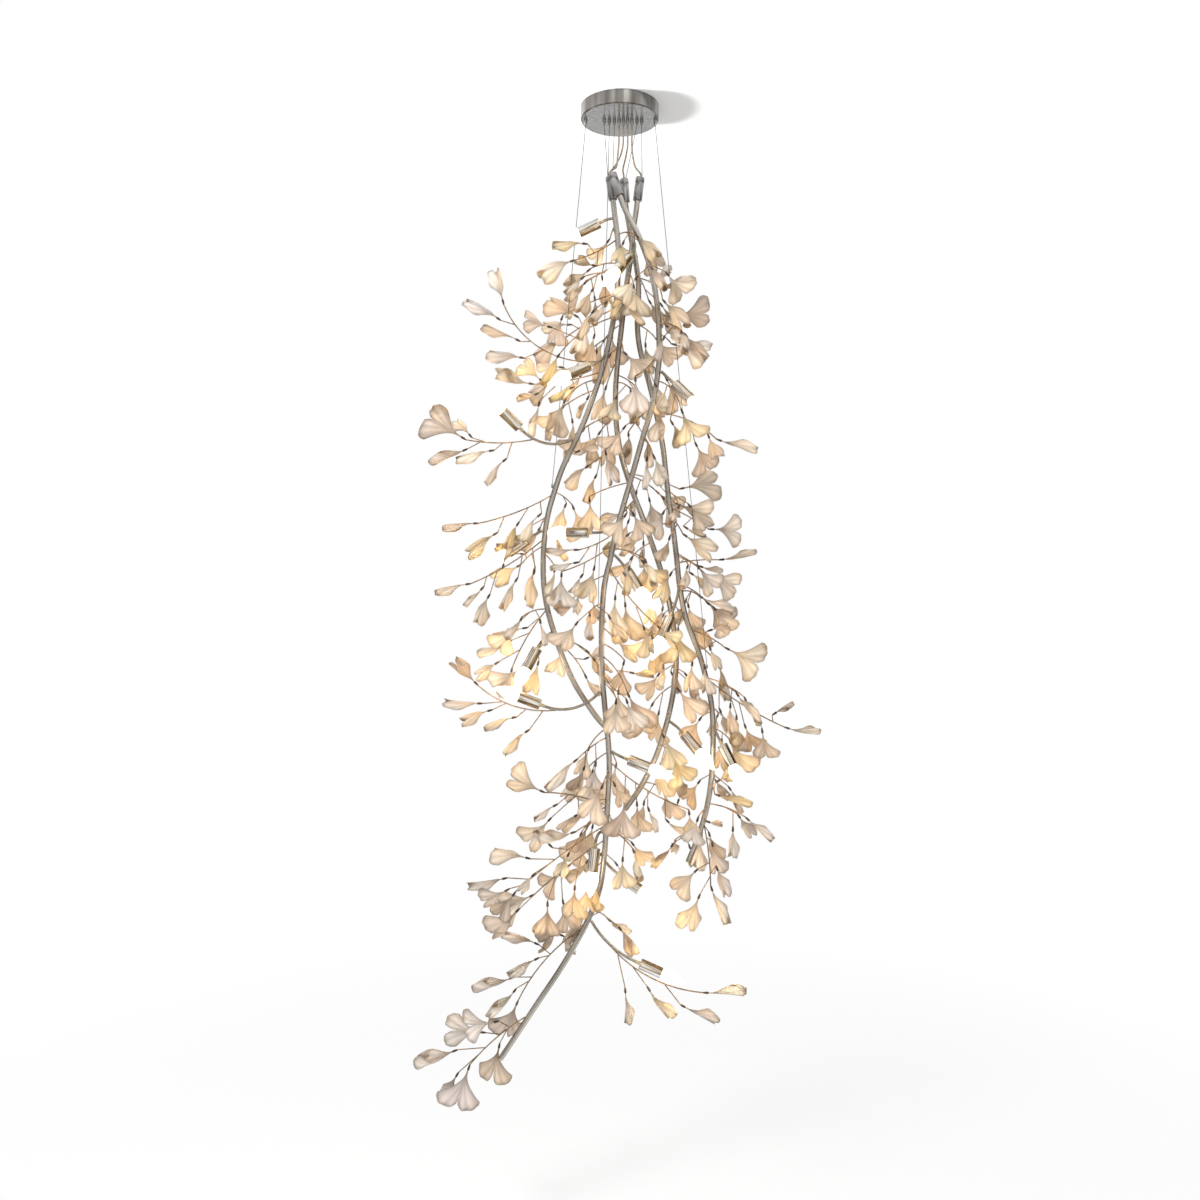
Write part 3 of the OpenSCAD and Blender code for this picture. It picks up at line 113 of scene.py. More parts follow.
# sizes in mm, as in the part's source
CANOPY_R, CANOPY_H = 100.0, 35.0
EXIT_Z = -48
CORD_D = 4.5
CORD_GAP = 0.3
TUBE_R, BORE_R = 7, 5.5
CAP_R, CAP_LEN, CAP_ABOVE = 11.5, 60, 20
CUP_R, CUP_BORE_R = 13.5, 12.3
BULB_R = 17.4
CUP_FLOOR, NUT_GAP, NUT_LEN, OVER_NUT = 3, 0.15, 4, 1.2
HOLDER_LEN = 38
# the glass starts 1 mm down in the holder, a hair above the bulb's screw base
GLASS_FROM = CUP_FLOOR + NUT_GAP + NUT_LEN + OVER_NUT + HOLDER_LEN - 1 + 0.1
# the middle of the light, from the glass's foot
GLOW_UP = 36

# the run along a lathed or swept piece for each unit of its uvs
UV_RUN = 100


def unit(v):
    """v at a length of 1."""
    return v / np.linalg.norm(v)


def at(p):
    """The true place in mm of a point seen at [x, z] on the plane y = 0, at depth y."""
    k = 1 - p[2] / EYE[1]
    return np.array([EYE[0] + (p[0] - EYE[0]) * k, p[2], EYE[2] + (p[1] - EYE[2]) * k])


def smooth(points, steps):
    """A Catmull-Rom curve through points."""
    p = [np.asarray(q, float) for q in points]
    out = []
    for i in range(len(p) - 1):
        a, b, c, d = p[max(i - 1, 0)], p[i], p[i + 1], p[min(i + 2, len(p) - 1)]
        for k in range(steps):
            t = k / steps
            out.append(0.5 * (2 * b + (c - a) * t + (2 * a - 5 * b + 4 * c - d) * t * t
                              + (3 * b - a - 3 * c + d) * t ** 3))
    return out + [p[-1]]


axes = {b: [at(q) for q in ROUTES[b]] for b in BRANCHES}
cap_way = {}
cap_top = {}
for b in BRANCHES:
    # a cap points along the first step of the source's tube, which has two to each route point
    first, second = smooth(axes[b], 2)[:2]
    cap_way[b] = unit(second - first)
    cap_top[b] = first - cap_way[b] * CAP_ABOVE

# ---------- helpers ----------


def link(name, data):
    """A new object in the scene, from its mesh, curve or light."""
    obj = bpy.data.objects.new(name, data)
    scene.collection.objects.link(obj)
    return obj


def mesh_piece(name, verts, faces, uvs=None, crease=38):
    """A smooth-shaded object from points in mm, sharp where faces meet at more than crease."""
    mesh = bpy.data.meshes.new(name)
    mesh.from_pydata([tuple(c * MM for c in v) for v in verts], [], faces)
    if uvs is not None:
        layer = mesh.uv_layers.new(name="UVMap")
        loops = np.zeros(len(mesh.loops), np.int32)
        mesh.loops.foreach_get("vertex_index", loops)
        layer.data.foreach_set("uv", np.asarray(uvs, np.float32)[loops].ravel())
    mesh.update()
    mesh.polygons.foreach_set("use_smooth", [True] * len(mesh.polygons))
    mesh.set_sharp_from_angle(angle=math.radians(crease))
    return link(name, mesh)


def island_points(node):
    """The separate solids of a CAD node, each as its points in mm."""
    mesh = NODES[node].data
    co = np.zeros(len(mesh.vertices) * 3)
    mesh.vertices.foreach_get("co", co)
    points, index = np.unique(co.reshape(-1, 3), axis=0, return_inverse=True)
    index = index.ravel()
    parent = list(range(len(points)))

    def root(i):
        while parent[i] != i:
            parent[i] = parent[parent[i]]
            i = parent[i]
        return i

    for poly in mesh.polygons:
        r = root(index[poly.vertices[0]])
        for v in poly.vertices[1:]:
            s = root(index[v])
            if s != r:
                parent[s] = r
    groups = {}
    for i in range(len(points)):
        groups.setdefault(root(i), []).append(i)
    return [points[g] * 1000 for g in groups.values()]


def long_axis(points):
    """Centre, direction and half length of a slender or round solid."""
    ways = np.linalg.eigh(np.cov((points - points.mean(0)).T))[1]
    mid = np.zeros(3)
    for k in (2, 1, 0):
        s = points @ ways[:, k]
        mid += ways[:, k] * (s.max() + s.min()) / 2
    u = ways[:, 2]
    s = points @ u
    return mid, u, (s.max() - s.min()) / 2


def frame_at(u, near=(1.0, 0.0, 0.0)):
    """Two directions square to u."""
    near = np.asarray(near, float)
    if abs(np.dot(unit(near), u)) > 0.95:
        near = np.array([0.0, 1.0, 0.0])
    y = unit(np.cross(u, near))
    return np.cross(y, u), y


def lathe(places, profile, sides=32):
    """One mesh with the profile [r, z] turned round each (origin, axis) in places."""
    verts, faces, uvs = [], [], []
    n = len(profile)
    for origin, u in places:
        x, y = frame_at(u)
        start = len(verts)
        for k in range(sides):
            a = 2 * math.pi * k / sides
            way = math.cos(a) * x + math.sin(a) * y
            for r, z in profile:
                verts.append(origin + way * r + u * z)
                uvs.append((k / sides, z / UV_RUN))
        for k in range(sides):
            m = (k + 1) % sides
            for i in range(n - 1):
                a, b = start + k * n + i, start + m * n + i
                faces.append((a, b, b + 1, a + 1))
    return verts, faces, uvs


def sweep(path, radius, sides, inner=None):
    """A tube along path; its surface, and its bore and lips where inner is given."""
    path = [np.asarray(p, float) for p in path]
    verts, faces, uvs = [], [], []
    radii = [radius] if inner is None else [radius, inner]
    n = len(path)
    run = 0.0
    e = None
    for i, p in enumerate(path):
        a = unit(path[min(i + 1, n - 1)] - path[max(i - 1, 0)])
        e = frame_at(a, (0, 1, 0))[0] if e is None else unit(e - a * np.dot(a, e))
        f = np.cross(a, e)
        run += 0 if i == 0 else np.linalg.norm(p - path[i - 1])
        for r in radii:
            for k in range(sides):
                t = 2 * math.pi * k / sides
                verts.append(p + r * (math.cos(t) * e + math.sin(t) * f))
                uvs.append((k / sides, run / UV_RUN))
    row = sides * len(radii)
    for i in range(n - 1):
        for k in range(sides):
            m = (k + 1) % sides
            a, b = i * row + k, i * row + m
            faces.append((a, b, b + row, a + row))
            if inner is not None:
                faces.append((a + sides, a + sides + row, b + sides + row, b + sides))
    for end in (0, (n - 1) * row):
        if inner is None:
            cap = tuple(end + k for k in range(sides))
            faces.append(cap if end else cap[::-1])
            continue
        for k in range(sides):
            m = (k + 1) % sides
            quad = (end + k, end + sides + k, end + sides + m, end + m)
            faces.append(quad[::-1] if end else quad)
    return verts, faces, uvs


def merged(parts):
    """One mesh's points, faces and uvs from those of several."""
    verts, faces, uvs = [], [], []
    for v, f, u in parts:
        base = len(verts)
        verts += list(v)
        faces += [tuple(i + base for i in q) for q in f]
        uvs += list(u)
    return verts, faces, uvs


def finished(obj, body, slot, material, *nodes):
    """Gives a new piece its material and body, and hides the CAD nodes it stands for; slot is not
    used.
    """
    obj.data.materials.clear()
    obj.data.materials.append(material)
    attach(obj, body)
    if nodes:
        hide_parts(*nodes)
    return obj


# ---------- materials ----------


class Shader:
    """A small builder for node materials."""

    def __init__(self, name, color, metallic=0.0, roughness=0.5, **sockets):
        self.material = bpy.data.materials.new(name)
        self.material.use_nodes = True
        self.nodes = self.material.node_tree.nodes
        self.links = self.material.node_tree.links
        self.bsdf = self.nodes["Principled BSDF"]
        self.output = self.nodes["Material Output"]
        self.set(self.bsdf, "Base Color", (*color, 1))
        self.set(self.bsdf, "Metallic", metallic)
        self.set(self.bsdf, "Roughness", roughness)
        for key, value in sockets.items():
            self.set(self.bsdf, key.replace("_", " "), value)
        self.coords = self.nodes.new("ShaderNodeTexCoord")
        self.height = None

    @staticmethod
    def set(node, socket, value):
        node.inputs[socket].default_value = value

    def join(self, out, node, socket):
        self.links.new(out, node.inputs[socket])

    def scaled(self, scale, source="Object"):
        node = self.nodes.new("ShaderNodeMapping")
        self.join(self.coords.outputs[source], node, "Vector")
        node.inputs["Scale"].default_value = scale
        return node.outputs["Vector"]

    def noise(self, scale, detail=3.0, stretch=(1, 1, 1), source="Object"):
        node = self.nodes.new("ShaderNodeTexNoise")
        self.join(self.scaled(stretch, source), node, "Vector")
        self.set(node, "Scale", scale)
        self.set(node, "Detail", detail)
        return node.outputs["Fac"]

    def wave(self, scale, stretch=(1, 1, 1), source="Object", direction="X", distortion=0.0):
        node = self.nodes.new("ShaderNodeTexWave")
        node.bands_direction = direction
        self.join(self.scaled(stretch, source), node, "Vector")
        self.set(node, "Scale", scale)
        self.set(node, "Distortion", distortion)
        return node.outputs["Fac"]

    def ramp(self, fac, stops):
        node = self.nodes.new("ShaderNodeValToRGB")
        self.join(fac, node, "Fac")
        ramp = node.color_ramp
        while len(ramp.elements) < len(stops):
            ramp.elements.new(0.5)
        for element, (place, color) in zip(ramp.elements, stops):
            element.position = place
            element.color = (*color, 1)
        return node.outputs["Color"]

    def spread(self, fac, low, high):
        """A noise's usual range, stretched from low to high."""
        node = self.nodes.new("ShaderNodeMapRange")
        self.join(fac, node, "Value")
        self.set(node, "From Min", 0.3)
        self.set(node, "From Max", 0.7)
        self.set(node, "To Min", low)
        self.set(node, "To Max", high)
        return node.outputs["Result"]

    def mixed(self, one, other, share):
        """Two colours mixed; a mix node's colours are its inputs 6 and 7 and its output 2."""
        node = self.nodes.new("ShaderNodeMix")
        node.data_type = "RGBA"
        self.set(node, "Factor", share)
        self.join(one, node, 6)
        self.join(other, node, 7)
        return node.outputs[2]

    def facing(self, blend, stops):
        """A colour that goes through stops as the surface turns away from the eye."""
        node = self.nodes.new("ShaderNodeLayerWeight")
        self.set(node, "Blend", blend)
        return self.ramp(node.outputs["Facing"], stops)

    def color(self, out):
        self.join(out, self.bsdf, "Base Color")
        return self

    def roughness(self, fac, low, high):
        self.join(self.spread(fac, low, high), self.bsdf, "Roughness")
        return self

    def bump(self, fac, strength, distance):
        node = self.nodes.new("ShaderNodeBump")
        self.set(node, "Strength", strength)
        self.set(node, "Distance", distance)
        self.join(fac, node, "Height")
        if self.height is not None:
            self.join(self.height, node, "Normal")
        self.height = node.outputs["Normal"]
        self.join(self.height, self.bsdf, "Normal")
        return self


def polished_metal(name, light, edge, rough, smear, source="UV"):
    """Bright metal with painted shade that darkens its colour towards its edges as it turns from
    the eye, and soft smears.
    """
    s = Shader(name, light, metallic=1.0, roughness=0.12)
    dimmer = [0.74 * c for c in light]
    # painted shade: the colour goes from light to edge as the surface turns away from the eye
    painted_edge_shade = s.facing(0.3, [(0.05, light), (0.28, dimmer), (0.66, edge)])
    smears = s.ramp(s.noise(1.0, 2, smear, source), [(0.34, edge), (0.6, light)])
    s.color(s.mixed(painted_edge_shade, smears, 0.35))
    s.roughness(s.noise(6, 2, (1, 1, 1), source), *rough)
    return s.material


# each takes its light colour, the colour of its painted edge shade (which its smears share), a
# roughness range and the smears' stretch
tube_metal = polished_metal("polished_nickel", (0.6, 0.56, 0.5), (0.07, 0.055, 0.04),
                            (0.18, 0.28), (1.2, 0.9, 1))
arm_metal = polished_metal("arm_nickel", (0.46, 0.41, 0.34), (0.12, 0.09, 0.06),
                           (0.2, 0.32), (60, 60, 60), "Object")
part_chrome = polished_metal("part_chrome", (0.66, 0.65, 0.63), (0.34, 0.33, 0.31),
                             (0.26, 0.4), (90, 90, 90), "Object")


def metal_with_painted_reflections(name, stops, rough, reflection_bands):
    """Polished metal with painted reflections: broad soft bands along its length, like those of a
    room's reflections.
    """
    s = Shader(name, (0.7, 0.7, 0.7), metallic=1.0, roughness=0.1)
    s.color(s.ramp(s.noise(1.0, 1.5, reflection_bands, "UV"), stops))
    s.roughness(s.noise(7, 2, (1, 1, 1), "UV"), *rough)
    return s.material


# the colour stops of the painted reflection bands on the cups and on the canopy's side
CUP_PAINTED_REFLECTIONS = [(0.32, (0.1, 0.07, 0.04)), (0.43, (0.42, 0.3, 0.16)), (0.5, (0.84, 0.78, 0.68)),
             (0.57, (0.9, 0.89, 0.87)), (0.68, (0.2, 0.16, 0.12))]
CANOPY_PAINTED_REFLECTIONS = [(0.3, (0.09, 0.085, 0.08)), (0.46, (0.19, 0.18, 0.17)), (0.56, (0.27, 0.26, 0.24)),
                (0.7, (0.6, 0.58, 0.55))]
cup_metal = metal_with_painted_reflections("cup_chrome", CUP_PAINTED_REFLECTIONS, (0.14, 0.24), (3.6, 0.12, 1))
canopy_side = metal_with_painted_reflections("canopy_chrome", CANOPY_PAINTED_REFLECTIONS, (0.12, 0.2), (24, 0.3, 1))

s = Shader("canopy_face", (0.32, 0.32, 0.32), metallic=1.0, roughness=0.14)
s.color(s.ramp(s.noise(300, 4), [(0.36, (0.24, 0.24, 0.24)), (0.5, (0.31, 0.31, 0.305)),
                                 (0.68, (0.42, 0.42, 0.41))]))
s.roughness(s.noise(60, 3), 0.14, 0.24)
canopy_face = s.material

s = Shader("brushed_cap", (0.5, 0.49, 0.48), metallic=1.0, roughness=0.32)
brushing = s.noise(70, 5, (1, 1, 0.06))
s.color(s.ramp(brushing, [(0.3, (0.2, 0.195, 0.19)), (0.7, (0.42, 0.41, 0.4))]))
s.roughness(s.noise(120, 3, (1, 1, 0.08)), 0.24, 0.4)
s.bump(s.noise(260, 4, (1, 1, 0.04)), 0.12, 0.0002)
cap_metal = s.material

s = Shader("bronze_twig", (0.16, 0.12, 0.09), metallic=0.7, roughness=0.4)
s.color(s.ramp(s.noise(45, 4), [(0.3, (0.09, 0.06, 0.035)), (0.52, (0.25, 0.165, 0.085)),
                                (0.74, (0.52, 0.34, 0.17))]))
s.roughness(s.noise(80, 2), 0.3, 0.52).bump(s.noise(500, 3), 0.3, 0.0003)
twig_metal = s.material

s = Shader("dark_ferrule", (0.05, 0.035, 0.028), metallic=0.5, roughness=0.36)
s.color(s.ramp(s.noise(120, 3), [(0.3, (0.025, 0.018, 0.015)), (0.75, (0.11, 0.07, 0.05))]))
s.roughness(s.noise(200, 2), 0.26, 0.5).bump(s.noise(900, 2), 0.2, 0.0002)
ferrule_metal = s.material

s = Shader("steel_wire", (0.05, 0.045, 0.04), metallic=0.1, roughness=0.6,
           Specular_IOR_Level=0.2)
strands = s.wave(160, (1, 1, 2.2), direction="DIAGONAL")
s.color(s.ramp(strands, [(0.2, (0.03, 0.028, 0.025)), (0.8, (0.08, 0.072, 0.064))]))
s.bump(strands, 0.5, 0.0002)
wire_metal = s.material

s = Shader("copper_cord", (0.3, 0.22, 0.16), roughness=0.4, Coat_Weight=0.3,
           Coat_Roughness=0.25)
braid = s.wave(110, (1, 1, 0.9), direction="DIAGONAL")
s.color(s.ramp(braid, [(0.1, (0.11, 0.085, 0.065)), (0.9, (0.3, 0.235, 0.18))]))
s.bump(braid, 0.3, 0.0003)
cord_skin = s.material

s = Shader("brass", (0.76, 0.62, 0.36), metallic=1.0, roughness=0.25)
s.color(s.ramp(s.noise(60, 3), [(0.3, (0.6, 0.47, 0.26)), (0.7, (0.82, 0.7, 0.44))]))
s.roughness(s.noise(90, 2), 0.18, 0.34)
brass = s.material

s = Shader("black_gland", (0.03, 0.03, 0.03), roughness=0.45)
s.roughness(s.noise(140, 2), 0.36, 0.55).bump(s.noise(600, 2), 0.3, 0.0002)
black_plastic = s.material

s = Shader("pale_plastic", (0.86, 0.85, 0.82), roughness=0.5)
s.color(s.ramp(s.noise(30, 2), [(0.3, (0.82, 0.81, 0.77)), (0.7, (0.9, 0.89, 0.86))]))
s.bump(s.noise(500, 2), 0.2, 0.0002)
pale_plastic = s.material

s = Shader("holder_ceramic", (0.9, 0.88, 0.84), roughness=0.3)
s.color(s.ramp(s.noise(50, 3), [(0.3, (0.84, 0.82, 0.77)), (0.7, (0.93, 0.92, 0.88))]))
s.roughness(s.noise(90, 2), 0.22, 0.4)
holder_white = s.material

s = Shader("zinc_bracket", (0.62, 0.64, 0.66), metallic=1.0, roughness=0.4)
s.color(s.ramp(s.noise(35, 5), [(0.35, (0.5, 0.52, 0.55)), (0.65, (0.74, 0.75, 0.77))]))
s.roughness(s.noise(60, 3), 0.3, 0.5)
zinc = s.material


def porcelain():
    """Unglazed porcelain: ribs that fan out from the stalk, and a body that lets light through."""
    s = Shader("porcelain_leaf", (0.8, 0.72, 0.66), roughness=0.48, Coat_Weight=0.12,
               Coat_Roughness=0.3)
    # the base colour is each leaf's tone with painted bulb light and painted shade, from the
    # leaves' colour attribute
    tone_with_painted_light = s.nodes.new("ShaderNodeAttribute")
    tone_with_painted_light.attribute_name = "tone_with_painted_light"
    s.join(tone_with_painted_light.outputs["Color"], s.bsdf, "Base Color")
    ribs = s.wave(1.0, (11, 0.35, 1), "UV", "X", 0.9)
    s.bump(s.noise(160, 4), 0.3, 0.0008)
    s.bump(ribs, 0.8, 0.0016)
    s.roughness(s.noise(90, 3), 0.38, 0.58)
    through = s.nodes.new("ShaderNodeBsdfTranslucent")
    s.set(through, "Color", (1.0, 0.78, 0.5, 1))
    s.join(s.height, through, "Normal")
    mix = s.nodes.new("ShaderNodeMixShader")
    s.set(mix, "Fac", 0.28)
    s.join(s.bsdf.outputs["BSDF"], mix, 1)
    s.join(through.outputs["BSDF"], mix, 2)
    s.join(mix.outputs["Shader"], s.output, "Surface")
    return s.material


leaf_porcelain = porcelain()


GLOW, GLOW_EDGE = (1.0, 0.98, 0.9), (0.9, 0.7, 0.34)
s = Shader("bulb_glass", GLOW, roughness=0.25, Emission_Color=(*GLOW, 1), Emission_Strength=1.15)
s.roughness(s.noise(80, 2), 0.2, 0.32)
s.join(s.facing(0.35, [(0.25, GLOW), (0.9, GLOW_EDGE)]), s.bsdf, "Emission Color")
bulb_glow = s.material

# ---------- cords ----------

CLUSTER = "cluster"
# how far a cord runs straight below its gland, and before its cap
CORD_DROP, CORD_LEAD_IN = 8, 10
for b in BRANCHES:
    x, way = CORDS[b]
    u, foot = cap_way[b], cap_top[b]
    points = smooth([[x, 0, EXIT_Z - CORD_GAP], [x, 0, EXIT_Z - CORD_DROP]] + [at(q) for q in way]
                    + [foot - u * CORD_LEAD_IN, foot, foot + u * (CAP_ABOVE - CORD_GAP)], 4)
    curve = bpy.data.curves.new(f"cord_{b}", "CURVE")
    curve.dimensions = "3D"
    curve.bevel_depth = CORD_D / 2 * MM
    curve.bevel_resolution = 5
    curve.use_fill_caps = True
    spline = curve.splines.new("POLY")
    spline.points.add(len(points) - 1)
    for point, p in zip(spline.points, points):
        point.co = (*(p * MM), 1)
    cord = link(f"power_cord_{b}_sheath", curve)
    finished(cord, CLUSTER, "copper_cord", cord_skin, f"power_cord_{b}")

# ---------- branch tubes ----------

for b in BRANCHES:
    tube = mesh_piece(f"{b}_tube", *sweep(smooth(axes[b], 6), TUBE_R, 28, BORE_R))
    finished(tube, CLUSTER, "polished_nickel_tube", tube_metal, f"{b}_branch_tube")

# ---------- caps ----------

# from the cord's hole over the rounded end, a groove and the open end to the bore
cap_profile = [[2.6, 0.6], [2.6, 0], [10.3, 0], [11.1, 0.35], [CAP_R, 1.2], [CAP_R, 13.6],
               [11.2, 14.0], [11.2, 14.7], [CAP_R, 15.1], [CAP_R, CAP_LEN - 1.0],
               [11.1, CAP_LEN - 0.2], [10.6, CAP_LEN], [7.6, CAP_LEN], [7.45, CAP_LEN - 0.4],
               [7.45, 24]]
cap_places = [(cap_top[b], cap_way[b]) for b in BRANCHES]
caps = mesh_piece("cap_shells", *lathe(cap_places, cap_profile, 40))
finished(caps, CLUSTER, "brushed_cap", cap_metal, "branch_caps")

# ---------- canopy ----------

R, H = CANOPY_R, CANOPY_H
CANOPY_EDGE = 3
side_profile = [[R - 1.6, -0.2], [R - 0.5, 0], [R, -0.5], [R, -1.6], [R - 0.25, -1.9],
                [R - 0.25, -2.3], [R, -2.6]]
side_profile += [[R, z] for z in (-10, -20, -30)]
edge = [[R - CANOPY_EDGE + CANOPY_EDGE * math.cos(a), -H + CANOPY_EDGE - CANOPY_EDGE * math.sin(a)]
        for a in np.linspace(0, math.pi / 2, 8)]
upright = [(np.zeros(3), np.array([0.0, 0.0, 1.0]))]
side = mesh_piece("canopy_band", *lathe(upright, side_profile + edge, 128))
finished(side, "canopy", "chrome_canopy", canopy_side, "canopy_cover")
face_profile = [[R - CANOPY_EDGE, -H]] + [[r, -H - 0.02] for r in (R - 6, 60, 30, 0.05)]
face = mesh_piece("canopy_underside", *lathe(upright, face_profile, 128))
finished(face, "canopy", "chrome_canopy", canopy_face)

# ---------- lamps ----------

cups = [long_axis(p) for p in island_points("lamp_cups")]
bulbs = [p.mean(0) for p in island_points("bulb_filaments")]
lamps = []
for mid, u, half in cups:
    bulb = min(bulbs, key=lambda q: np.linalg.norm(q - mid))
    u = u if np.dot(bulb - mid, u) > 0 else -u
    lamps.append((mid - u * half, u, 2 * half))
cup_len = lamps[0][2]
# from the nipple's hole over the floor, a groove and the lip to the inside
cup_profile = [[4.4, 0.2], [4.6, 0], [12.0, 0], [13.1, 0.35], [CUP_R, 1.2], [CUP_R, 5.0],
               [13.2, 5.35], [13.2, 6.0], [CUP_R, 6.35], [CUP_R, cup_len - 0.7],
               [13.25, cup_len - 0.1], [12.9, cup_len], [12.4, cup_len - 0.2],
               [CUP_BORE_R, cup_len - 0.8], [CUP_BORE_R, 3.2], [4.5, CUP_FLOOR]]
cup_piece = mesh_piece("cup_shells", *lathe([(o, u) for o, u, _ in lamps], cup_profile, 48))
finished(cup_piece, CLUSTER, "chrome_cup", cup_metal, "lamp_cups")

candle = smooth([[6.3, 0], [7.7, 5], [10.5, 12], [14.3, 20], [16.8, 28], [BULB_R, 34], [16.6, 41],
                 [13.6, 50], [9.1, 60], [5.2, 68], [2.2, 74], [0.02, 76]], 3)
bulb_places = [(o + u * GLASS_FROM, u) for o, u, _ in lamps]
bulb_piece = mesh_piece("bulb_shells", *lathe(bulb_places, candle, 28))
finished(bulb_piece, CLUSTER, "bulb_glass", bulb_glow, "bulb_glass", "bulb_filaments")
bulb_piece.visible_shadow = False

glows = np.array([o + u * (GLASS_FROM + GLOW_UP) for o, u, _ in lamps])
bulb_lights = []
for k, place in enumerate(glows):
    light = bpy.data.lights.new(f"bulb_light_{k}", "POINT")
    light.energy = 1.5
    light.color = (1.0, 0.68, 0.3)
    light.shadow_soft_size = 0.016
    lamp = link(f"bulb_light_{k}", light)
    lamp.location = place * MM
    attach(lamp, CLUSTER)
    bulb_lights.append(lamp)

# ---------- ferrules and leaves ----------

# the outer edge of one lobe, from the cleft out: [share of the columns, length, half width]
RIM = np.array(smooth([[0.0, 0.76, 0.0], [0.07, 0.85, 0.025], [0.17, 0.935, 0.11],
                       [0.3, 0.985, 0.25], [0.44, 1.0, 0.43], [0.58, 0.985, 0.62],
                       [0.72, 0.94, 0.8], [0.84, 0.875, 0.93], [0.93, 0.805, 0.99],
                       [1.0, 0.735, 0.97]], 5))
LEAF_COLS, BLADE_ROWS, STALK_ROWS = 25, 11, 2
RIB_WAVES = 6
STALK_IN_FERRULE = 1.5
ferrule_profile = [[0.05, 0], [1.9, 0], [2.3, 0.5], [2.35, 2.2], [2.75, 4.6], [2.95, 7.5],
                   [3.0, 12.2], [2.75, 12.9], [2.2, 13.0], [1.8, 12.6], [1.7, 10.5]]


def leaf_faces():
    """Faces of a leaf: a grid for the front, one for the back, and the edge between them."""
    rows, cols = STALK_ROWS + BLADE_ROWS, LEAF_COLS
    count = rows * cols
    faces = []
    for i in range(rows - 1):
        for j in range(cols - 1):
            a = i * cols + j
            faces.append((a, a + cols, a + cols + 1, a + 1))
            faces.append((a + count, a + 1 + count, a + cols + 1 + count, a + cols + count))
    border = list(range(cols)) + [i * cols + cols - 1 for i in range(1, rows)]
    border += [(rows - 1) * cols + j for j in range(cols - 2, -1, -1)]
    border += [i * cols for i in range(rows - 2, 0, -1)]
    for k, a in enumerate(border):
        b = border[(k + 1) % len(border)]
        faces.append((a, b, b + count, a + count))
    return np.array(faces)


LEAF_FACES = leaf_faces()


